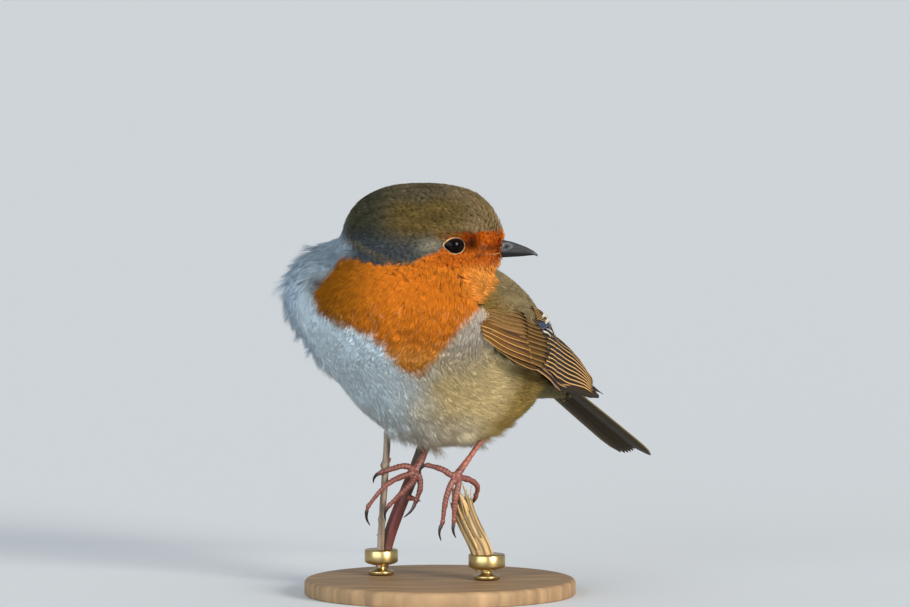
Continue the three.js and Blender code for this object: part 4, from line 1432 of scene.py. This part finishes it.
def build_bill(settings):
    """Both halves of the bill, with nostrils, cutting edge and pale gape."""
    root = HEAD_CENTRE + 14.0 * HEAD_FORWARD
    length = (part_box("bill_upper")[1].x / MM - root[0]) / HEAD_FORWARD[0]
    slate, pale, dark = linear(27, 26, 25), linear(68, 70, 72), linear(12, 10, 10)
    # Upper half: heights of its ridge and cutting edge and its half width, from root to tip.
    t = np.linspace(0, 1, 34)
    top_line = np.interp(t, (0, 0.1, 0.41, 0.58, 0.7, 0.83, 0.95, 1.0),
                         (90.7, 90.5, 90.2, 89.65, 89.05, 88.3, 87.3, 86.6))
    edge_line = np.interp(t, (0, 0.4, 0.75, 0.92, 1.0), (86.9, 86.8, 86.75, 86.65, 86.2))
    half = np.interp(t, (0, 0.2, 0.45, 0.7, 0.9, 1.0), (2.5, 2.2, 1.55, 0.95, 0.5, 0.1))
    centre = root + HEAD_FORWARD * (t * length)[:, None]
    centre[:, 2] = edge_line

    def upper_colours(share, angle, points):
        streak = mottle((points * (0.25, 0.25, 1.6)).reshape(-1, 3), 0.5, 51).reshape(share.shape)
        return layered(
            slate,
            # Painted highlight: the upper half paler along its top.
            (pale, ease(np.sin(angle), 0.2, 0.9) * 0.45),
            (pale, ease(0.6 - share, 0.0, 0.25) * 0.3),
            (pale, 0.35 * ease(streak, 0.1, 0.7)),
            (dark, np.exp(-((np.sin(angle) + 0.02) / 0.14) ** 2) * 0.9),
            (dark, ease(-np.sin(angle), 0.05, 0.3)),
        )

    upper = Shape()
    loft(upper, centre, HEAD_FORWARD, half, top_line - edge_line, np.full(34, 0.12), upper_colours, 40)
    # Nostrils: sunk into both sides, with a paler rim.
    f, l, u = head_place(upper.points[-1])
    away = np.sqrt(((f - 21.0) / 0.85) ** 2 + ((u - 0.25) / 0.45) ** 2)
    sink = np.exp(-away ** 2) * (np.abs(l) > 0.5)
    rim = np.exp(-((away - 1.6) / 0.45) ** 2) * (np.abs(l) > 0.5)
    upper.points[-1] = upper.points[-1] - HEAD_LEFT * (np.sign(l) * sink * 0.45)[:, None]
    upper.colours[-1] = layered(upper.colours[-1], (dark * 0.4, np.minimum(sink * 1.4, 1.0)),
                                (linear(150, 152, 156), rim * 0.35))
    material = tinted_material("bill horn", roughness=0.38, speckle=0.14, scale=900.0, bump=0.05,
                               Specular_IOR_Level=0.35)
    top = upper.build("bill_upper_horn", material)
    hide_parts("bill_upper")

    # Lower half, a little shorter.
    t = np.linspace(0, 1, 30)
    keel = np.interp(t, (0, 0.4, 0.75, 1.0), (85.5, 85.75, 86.05, 86.4))
    edge_line = np.interp(t, (0, 0.4, 0.75, 1.0), (86.75, 86.65, 86.6, 86.45))
    half = np.interp(t, (0, 0.2, 0.45, 0.7, 0.9, 1.0), (2.2, 1.9, 1.3, 0.8, 0.4, 0.08))
    centre = root + HEAD_FORWARD * (t * (length - 0.9))[:, None]
    centre[:, 2] = edge_line

    def lower_colours(share, *_):
        # Painted shade: the lower half is the upper's slate made darker.
        return blend(slate * 0.7, linear(196, 188, 168) * 0.6, ease(0.25 - share, 0.0, 0.25) * 0.5)

    def gape_colours(share, *_):
        return blend(linear(134, 66, 26), linear(156, 120, 80), ease(share, 0.1, 0.7))

    lower = Shape()
    loft(lower, centre, HEAD_FORWARD, half, np.full(30, 0.08), edge_line - keel, lower_colours, 32)
    for side in (1, -1):
        line = gape_line(side)
        t = np.linspace(0, 1, len(line))
        thick = 0.19 * np.sqrt(np.clip(np.sin(math.pi * np.clip(t, 0.02, 0.98)), 0.05, 1))
        along = unit(HEAD_FORWARD - HEAD_LEFT * side * 0.5)
        loft(lower, line, along, thick, thick, thick, gape_colours, 10)
    bottom = lower.build("bill_lower_horn", material)
    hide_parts("bill_lower")
    return [top, bottom]


# ---- feet

TOES = ("middle", "outer", "inner", "hind")


def foot_of(tarsus):
    """Middle of the lowest part of a tarsus."""
    return tarsus[tarsus[:, 2] < tarsus[:, 2].min() + 0.6].mean(axis=0)


def end_towards(points, others):
    """Middle of the end of a set of points that lies nearest to others."""
    gaps = np.linalg.norm(points[:, None] - others[None], axis=2).min(axis=1)
    return points[gaps < gaps.min() + 0.6].mean(axis=0)


def capsule(start, end, start_radius, end_radius):
    """Points and triangles of a round-ended rod."""
    way = unit(end - start)
    side = unit(np.cross(way, (0.3, 0.8, 0.5)))
    angle = circle(14)[:, None]
    ring = side * np.cos(angle) + np.cross(way, side) * np.sin(angle)
    rings = [start - way * start_radius + ring * 0.02, start + (ring - way) * start_radius * 0.7,
             start + ring * start_radius, end + ring * end_radius,
             end + (ring + way) * end_radius * 0.7, end + way * end_radius + ring * 0.02]
    quads = grid_faces(6, 14, closed=True)
    caps = [(0, i + 1, i) for i in range(1, 13)] + [(70, 70 + i, 71 + i) for i in range(1, 13)]
    return np.concatenate(rings), np.concatenate([quads[:, [0, 1, 2]], quads[:, [0, 2, 3]], caps])


def build_feet(settings):
    """Legs and toes with ringed scutes, one skin for each leg, and their claws."""
    skin_material = tinted_material("leg scales", roughness=0.42, speckle=0.16, scale=1500.0, bump=0.04,
                                    Specular_IOR_Level=0.45)
    claw_material = tinted_material("claw horn", roughness=0.3, speckle=0.08, scale=900.0,
                                    Specular_IOR_Level=0.5)
    dull = linear(66, 36, 30)
    pieces = []
    for side in SIDES:
        nodes = [f"leg_{side}_tarsus"] + [f"toe_{side}_{toe}" for toe in TOES]
        claw_nodes = [f"claw_{side}_{toe}" for toe in TOES]
        tarsus = corners(nodes[0])
        joint = foot_of(tarsus)
        parts = [grown(node, 0.02) for node in nodes]
        # Rods close the gaps between tarsus, toe and claw.
        for toe, claw in zip(nodes[1:], claw_nodes):
            toe_points, claw_points = corners(toe), corners(claw)
            parts.append(capsule(joint, end_towards(toe_points, joint[None]), 0.95, 0.74))
            toe_end, claw_base = end_towards(toe_points, claw_points), end_towards(claw_points, toe_points)
            parts.append(capsule(toe_end, claw_base + unit(claw_base - toe_end) * 0.35, 0.72, 0.45))
        points, faces = shrink_wrapped(parts, voxel=0.2, times=7, back=0.5)
        normals = corner_normals(points, faces)
        reach = np.linalg.norm(points - joint, axis=1)
        up_leg = dots(unit(points - joint), unit(tarsus.mean(axis=0) - joint))
        on_tarsus = ease(up_leg, 0.86, 0.96) * ease(reach, 2.0, 3.0)
        on_toes = 1 - on_tarsus
        phase = (reach / (0.8 + 0.9 * on_tarsus) + 0.3 * mottle(points, 2.2, 42)) % 1.0
        groove = np.exp(-(np.minimum(phase, 1 - phase) / 0.12) ** 2)
        upper = np.maximum(ease(normals[:, 2] + 0.35 * -(normals @ FRONT_IN), -0.35, 0.25), on_tarsus)
        pads = 0.5 + 0.5 * np.sin(reach * 2 * math.pi / 2.3)
        height = 0.04 - 0.09 * groove * upper + 0.1 * pads * (1 - upper) * on_toes
        height = height - 0.13 * ease(reach, 5.0, 15.0) * on_toes
        points = points + normals * height[:, None]
        colour = layered(
            linear(112, 60, 50),
            (linear(166, 98, 80), np.clip(on_tarsus * 0.6 + 0.25 * mottle(points, 1.6, 41), 0, 1)),
            (linear(204, 150, 130), groove * upper * on_toes * 0.3),
            (dull, groove * on_tarsus * 0.4),
            (dull, ease(reach, 14.0, 20.0) * on_toes * 0.5),
        )
        shape = Shape()
        shape.add(points, faces, colour)
        leg = shape.build(f"leg_{side}_skin", skin_material)
        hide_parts(*nodes)
        pieces.append(leg)
        claws = Shape()
        for node in claw_nodes:
            points, faces = grown(node, 0.05)
            away = np.linalg.norm(points - joint, axis=1)
            share = (away - away.min()) / (away.max() - away.min())
            base = linear(92, 66, 56) if node == "claw_right_hind" else linear(44, 34, 30)
            claws.add(points, faces, blend(base, linear(20, 17, 17), ease(share, 0.2, 0.8)))
        claw = claws.build(f"claws_{side}", claw_material)
        rounding = claw.modifiers.new("rounding", "SUBSURF")
        rounding.levels = 2
        rounding.render_levels = 2
        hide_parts(*claw_nodes)
        pieces.append(claw)
    return pieces


# ---- perch


class Stem:
    """Middle line and thickness of a CAD stem, read from its corners."""

    def __init__(self, node):
        points = corners(node)
        self.low, self.high = points[:, 2].min(), points[:, 2].max()
        self.fits = [np.polyfit(points[:, 2], points[:, axis], 3) for axis in (0, 1)]
        self.radius = np.percentile(np.linalg.norm(points - self.at(points[:, 2]), axis=1), 70)

    def at(self, heights):
        """Points of the middle line at heights."""
        return np.stack([*(np.polyval(fit, heights) for fit in self.fits), heights], axis=-1)

    def up_to(self, share):
        """The middle line's point at a share of the way up."""
        return self.at(self.low + share * (self.high - self.low))


def tube(shape, line, radii, colours, columns, bumps=None):
    """A closed round rod along a line. Colours and bumps may depend on the share along and the angle."""
    along = tangents(line)
    side = unit(np.cross(along, (0.31, 0.9, 0.3)))
    other = np.cross(along, side)
    share, angle = np.meshgrid(np.linspace(0, 1, len(line)), circle(columns), indexing="ij")
    radii = np.broadcast_to(radii, len(line))[:, None]
    if bumps:
        radii = radii + bumps(share, angle)
    points = (line[:, None] + side[:, None] * (np.cos(angle) * radii)[..., None]
              + other[:, None] * (np.sin(angle) * radii)[..., None])
    tint = colours(share, angle) if callable(colours) else np.broadcast_to(colours, points.shape)
    shape.add_rings(points, tint)


def build_perch(settings):
    """The straw stem with its split fibres, the grey twig with a bud and the red cane with its thorns."""
    rng = np.random.default_rng(23)
    pieces = []
    straw = Stem("perch_straw_stem")
    shape = Shape()
    light = linear(186, 154, 104)
    dark = linear(58, 38, 22)
    run = np.linspace(0, 1, 10)

    def ribs(share, angle):
        return 0.12 * np.sin(angle * 9 + share * 2) + 0.08 * np.sin(angle * 17 - share * 3)

    def straw_tint(share, angle):
        stripe = 0.5 + 0.5 * np.sin(angle * 9 + share * 2 + 0.6 * np.sin(share * 13))
        return blend(light, dark, 0.8 * stripe ** 2)

    tube(shape, straw.at(np.linspace(straw.low, straw.high - 4.0, 40)), straw.radius * 0.86, straw_tint, 72,
         ribs)
    # Split fibres along the stem.
    for i in range(46):
        turn = rng.uniform(0, 2 * math.pi)
        away = straw.radius * rng.uniform(0.45, 1.0)
        bottom = rng.uniform(straw.low, straw.high - 9.0)
        top = rng.uniform(straw.high - 5.0, straw.high + 0.4) if i % 2 else bottom + rng.uniform(4.0, 9.0)
        line = straw.at(np.linspace(bottom, min(top, straw.high + 0.4), 10))
        reach = away * 0.98 + run ** 2 * rng.uniform(-0.1, 0.5)
        line[:, :2] += reach[:, None] * np.array((math.cos(turn), math.sin(turn)))
        thick = rng.uniform(0.14, 0.34) * (1 - 0.75 * run ** 2)
        colour = blend(light, dark, rng.uniform(0, 1) ** 2 * 0.8) * rng.uniform(0.7, 1.15)
        tube(shape, line, thick, colour, 7)
    # Fibres that bend up to the foot.
    foot = foot_of(corners("leg_left_tarsus"))
    for _ in range(16):
        turn = rng.uniform(0, 2 * math.pi)
        out = np.array((math.cos(turn), math.sin(turn), 0.0))
        low_end = straw.at(straw.high - rng.uniform(6.0, 9.0)) + out * straw.radius * 0.75
        high_end = foot + out * rng.uniform(0.5, 2.2) - UP * rng.uniform(1.0, 4.5)
        bend = (low_end + high_end) / 2 + out * rng.uniform(0.1, 0.9)
        thick = rng.uniform(0.25, 0.5) * (1 - 0.7 * np.linspace(0, 1, 12) ** 2)
        tube(shape, curve_through((low_end, bend, high_end), 12), thick, light * rng.uniform(0.55, 1.2), 8)
    piece = shape.build("straw_stem", tinted_material("dry straw", 0.7, 0.22, 500.0, 0.12, (1, 1, 0.15)))
    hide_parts("perch_straw_stem")
    pieces.append(piece)

    twig = Stem("perch_grey_twig")
    shape = Shape()

    def knots(share, angle):
        knot = 0.35 * np.exp(-((share - 0.64) / 0.018) ** 2) + 0.2 * np.exp(-((share - 0.3) / 0.015) ** 2)
        return knot * (1 + 0.5 * np.cos(angle - 1.0)) + 0.04 * np.sin(angle * 5 + share * 30)

    def twig_tint(share, angle):
        return blend(linear(150, 132, 112), linear(104, 84, 70), 0.5 + 0.5 * np.sin(angle * 3 + share * 9))

    tube(shape, twig.at(np.linspace(twig.low, twig.high, 70)), twig.radius * 0.95, twig_tint, 20, knots)
    bud = twig.up_to(0.64) + np.linspace(0, 1, 9)[:, None] * np.array((1.2, -0.4, 1.9))
    tube(shape, bud, 0.55 * np.sqrt(np.sin(np.linspace(0.25, math.pi - 0.08, 9))), linear(112, 72, 56), 12)
    piece = shape.build("grey_twig", tinted_material("twig bark", 0.75, 0.2, 900.0, 0.08, (1, 1, 0.3)))
    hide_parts("perch_grey_twig")
    pieces.append(piece)

    cane = Stem("perch_red_cane")
    shape = Shape()

    def ridges(_, angle):
        return 0.09 * np.sin(angle * 5)

    def cane_tint(share, angle):
        return blend(linear(104, 44, 40), linear(66, 52, 40), 0.5 + 0.5 * np.sin(share * 8 + angle))

    tube(shape, cane.at(np.linspace(cane.low, cane.high, 60)), cane.radius * 0.94, cane_tint, 30, ridges)
    for share, turn, size in ((0.52, -0.4, 3.0), (0.26, 2.6, 2.6), (0.8, 1.4, 2.2)):
        way = np.array((math.cos(turn), math.sin(turn), -0.12))
        line = cane.up_to(share) + np.linspace(0.2, 1, 10)[:, None] * way * (size + cane.radius)
        line[:, 2] -= 0.5 * run ** 2
        tube(shape, line, 0.95 * (1 - np.linspace(0, 0.97, 10)) ** 0.9, linear(140, 74, 54), 12)
    piece = shape.build("red_cane", tinted_material("cane bark", 0.5, 0.2, 700.0, 0.06, (1, 1, 0.3)))
    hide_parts("perch_red_cane")
    pieces.append(piece)
    return pieces


# ---- stand


def add_turned(shape, profile, centre, colour, columns):
    """Adds a turned solid from a profile of radius and height."""
    radius, height = np.array(profile, float).T[..., None]
    angle = circle(columns)
    across, along = radius * np.cos(angle), radius * np.sin(angle)
    rings = np.stack([centre[0] + across, centre[1] + along, np.broadcast_to(height, across.shape)], axis=-1)
    shape.add_rings(rings, np.broadcast_to(colour, rings.shape))


def rounded(corner_radius, outer, height, steps=8):
    """Quarter-round run of a profile from an outer wall up to a flat top."""
    turn = np.linspace(0, math.pi / 2, steps)
    return [(outer - corner_radius * (1 - math.cos(angle)), height - corner_radius * (1 - math.sin(angle)))
            for angle in turn]


def build_stand(settings):
    """The turned wooden base and the two brass rods with their ferrules."""
    pieces = []
    low, high = (np.array(corner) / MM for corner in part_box("stand_base"))
    radius = (high[0] - low[0]) / 2
    profile = [(radius - 0.4, 0.0), (radius, 0.4), (radius, high[2] - 1.4)]
    shape = Shape()
    add_turned(shape, profile + rounded(1.1, radius, high[2]), (low + high) / 2,
               tuple(settings.base_colour), 160)
    wood, tree, shader = new_material("turned wood", 0.62, Specular_IOR_Level=0.3)
    grain = add_noise(tree, 60.0, 6.0, stretch=(1.0, 9.0, 1.0))
    add_ramp(tree, shader, grain, 0.55 * np.array(settings.base_colour), settings.base_colour, 0.35, 0.7)
    add_bump(tree, shader, grain, 0.4, 0.05 * MM)
    base = shape.build("stand_base_turned", wood)
    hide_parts("stand_base")
    pieces.append(base)
    brass, tree, shader = new_material("satin brass", 0.32, Metallic=1.0)
    add_ramp(tree, shader, add_noise(tree, 400.0), (0.42, 0.3, 0.12), (0.58, 0.44, 0.2))
    for rod in ("straw", "cane"):
        node = f"stand_rod_{rod}"
        points = corners(node)
        low, high = points.min(axis=0), points.max(axis=0)
        outer = (high[0] - low[0]) / 2
        foot, top = low[2], high[2]
        profile = [(3.2, foot), (3.2, foot + 0.5)] + rounded(0.25, 3.2, foot + 0.9, 5)
        profile += [(1.7, foot + 1.1), (1.3, foot + 1.6), (1.3, top - 4.2)]
        profile += [(outer - 0.8, top - 3.6), (outer - 0.1, top - 3.2), (outer, top - 2.9)]
        profile += [(outer, top - 0.4), (outer - 0.15, top - 0.1), (outer - 0.4, top)]
        shape = Shape()
        add_turned(shape, profile, (low + high) / 2, (0.5, 0.4, 0.2), 64)
        piece = shape.build(f"stand_rod_{rod}_turned", brass)
        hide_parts(node)
        pieces.append(piece)
    return pieces


# ---- stage


def aimed(name, data, place, way):
    """A lamp or camera put into the scene, looking that way."""
    holder = placed(name, data)
    holder.location = place
    holder.rotation_euler = way.to_track_quat("-Z", "Y").to_euler()
    return holder


def sun_light(name, place, aim, spread, strength, colour):
    """A soft distant lamp that shines towards a point."""
    lamp = bpy.data.lights.new(name, "SUN")
    lamp.angle = math.radians(spread)
    lamp.energy = strength
    lamp.color = colour
    holder = aimed(name, lamp, Vector(place), Vector(aim) - Vector(place))


def build_stage(settings):
    """Pale floor, soft lamps, sky and the camera."""
    scene = bpy.context.scene
    mesh = bpy.data.meshes.new("floor")
    half = 60.0
    edge = [(-half, -half, 0), (half, -half, 0), (half, half, 0), (-half, half, 0)]
    mesh.from_pydata(edge, [], [(0, 1, 2, 3)])
    floor = placed("floor", mesh)
    material, tree, shader = new_material("pale floor", 0.85, Base_Color=(0.76, 0.77, 0.78, 1))
    add_bump(tree, shader, add_noise(tree, 40.0), 0.05, 0.2 * MM)
    mesh.materials.append(material)
    world = bpy.data.worlds.new("soft sky")
    world.use_nodes = True
    sky = world.node_tree.nodes["Background"].inputs
    sky["Color"].default_value = (0.86, 0.93, 1.0, 1)
    sky["Strength"].default_value = 0.5
    scene.world = world
    aim = (0.004, 0.0, 0.07)
    sun_light("key", (1.0, -1.15, 0.47), aim, 22.0, 3.5 * settings.key_strength, (1.0, 0.95, 0.87))
    sun_light("fill", (-0.6, -1.0, 0.06), aim, 60.0, 3.6, (0.8, 0.92, 1.0))
    target = Vector((0.00375, 0.0, 0.07305))
    distance = 1.896
    camera = bpy.data.cameras.new("camera")
    camera.sensor_width = 36.0
    camera.lens = 300.0
    camera.clip_start = 0.01
    holder = aimed("camera", camera, target - Vector(FRONT_IN) * distance, Vector(FRONT_IN))
    scene.camera = holder
    scene.view_settings.view_transform = "Standard"


# ---- add-on


class RobinSettings(bpy.types.PropertyGroup):
    """Sizes and colours that a user would change."""

    coat_density: bpy.props.FloatProperty(
        name="Coat density", description="Tufts in the coat, against the usual number",
        default=1.0, min=0.2, max=1.3, subtype="FACTOR")
    brightness: bpy.props.FloatProperty(
        name="Plumage brightness", description="Lightness of all the plumage", default=1.0, min=0.5, max=1.5)
    base_colour: bpy.props.FloatVectorProperty(
        name="Base colour", description="Colour of the turned wooden base", subtype="COLOR",
        default=tuple(linear(176, 142, 104)), min=0.0, max=1.0)
    key_strength: bpy.props.FloatProperty(
        name="Key light", description="Strength of the main lamp, against the usual one",
        default=1.0, min=0.0)


class RobinOperator:
    """What the operators share: they build one group of pieces and let it ride the model."""

    bl_options = {"REGISTER", "UNDO"}
    build = None

    def execute(self, context):
        built = type(self).build(context.scene.robin)
        for piece in built if isinstance(built, list) else [built]:
            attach(piece, "root")
        return {"FINISHED"}


class ROBIN_OT_skin(RobinOperator, bpy.types.Operator):
    """Lay one skin over head, neck and trunk, with the lids"""

    bl_idname = "robin.skin"
    bl_label = "Skin"
    build = staticmethod(build_skin)


class ROBIN_OT_eyes(RobinOperator, bpy.types.Operator):
    """Set both eyes"""

    bl_idname = "robin.eyes"
    bl_label = "Eyes"
    build = staticmethod(build_eyes)


class ROBIN_OT_coat(RobinOperator, bpy.types.Operator):
    """Grow the plumage of head, neck and trunk"""

    bl_idname = "robin.coat"
    bl_label = "Plumage"
    build = staticmethod(build_coat)


class ROBIN_OT_wings(RobinOperator, bpy.types.Operator):
    """Lay the feathers of both folded wings"""

    bl_idname = "robin.wings"
    bl_label = "Wings"
    build = staticmethod(build_wings)


class ROBIN_OT_tail(RobinOperator, bpy.types.Operator):
    """Fan the tail feathers"""

    bl_idname = "robin.tail"
    bl_label = "Tail"
    build = staticmethod(build_tail)


class ROBIN_OT_bill(RobinOperator, bpy.types.Operator):
    """Shape both halves of the bill"""

    bl_idname = "robin.bill"
    bl_label = "Bill"
    build = staticmethod(build_bill)


class ROBIN_OT_feet(RobinOperator, bpy.types.Operator):
    """Shape the legs, toes and claws"""

    bl_idname = "robin.feet"
    bl_label = "Feet"
    build = staticmethod(build_feet)


class ROBIN_OT_perch(RobinOperator, bpy.types.Operator):
    """Shape the three cut stems"""

    bl_idname = "robin.perch"
    bl_label = "Perch"
    build = staticmethod(build_perch)


class ROBIN_OT_stand(RobinOperator, bpy.types.Operator):
    """Turn the base and the rods"""

    bl_idname = "robin.stand"
    bl_label = "Stand"
    build = staticmethod(build_stand)


class ROBIN_OT_stage(bpy.types.Operator):
    """Set up floor, lamps and camera"""

    bl_idname = "robin.stage"
    bl_label = "Stage"

    def execute(self, context):
        build_stage(context.scene.robin)
        return {"FINISHED"}


OPERATORS = (ROBIN_OT_skin, ROBIN_OT_eyes, ROBIN_OT_coat, ROBIN_OT_wings, ROBIN_OT_tail, ROBIN_OT_bill,
             ROBIN_OT_feet, ROBIN_OT_perch, ROBIN_OT_stand, ROBIN_OT_stage)


class ROBIN_PT_panel(bpy.types.Panel):
    """Lists the steps that dress the robin"""

    bl_idname = "ROBIN_PT_panel"
    bl_label = "Robin"
    bl_space_type = "VIEW_3D"
    bl_region_type = "UI"
    bl_category = "Robin"

    def draw(self, context):
        settings = context.scene.robin
        for name in ("coat_density", "brightness", "base_colour", "key_strength"):
            self.layout.prop(settings, name)
        for operator in OPERATORS:
            self.layout.operator(operator.bl_idname)


CLASSES = (RobinSettings, *OPERATORS, ROBIN_PT_panel)


def register():
    """Makes the settings, steps and panel known."""
    for each in CLASSES:
        bpy.utils.register_class(each)
    bpy.types.Scene.robin = bpy.props.PointerProperty(type=RobinSettings)


def unregister():
    """Takes them away again."""
    del bpy.types.Scene.robin
    for each in reversed(CLASSES):
        bpy.utils.unregister_class(each)


def main():
    """Registers the add-on and runs its steps in order."""
    register()
    bpy.ops.robin.skin()
    bpy.ops.robin.eyes()
    bpy.ops.robin.coat()
    bpy.ops.robin.wings()
    bpy.ops.robin.tail()
    bpy.ops.robin.bill()
    bpy.ops.robin.feet()
    bpy.ops.robin.perch()
    bpy.ops.robin.stand()
    bpy.ops.robin.stage()


if __name__ == "__main__":
    main()
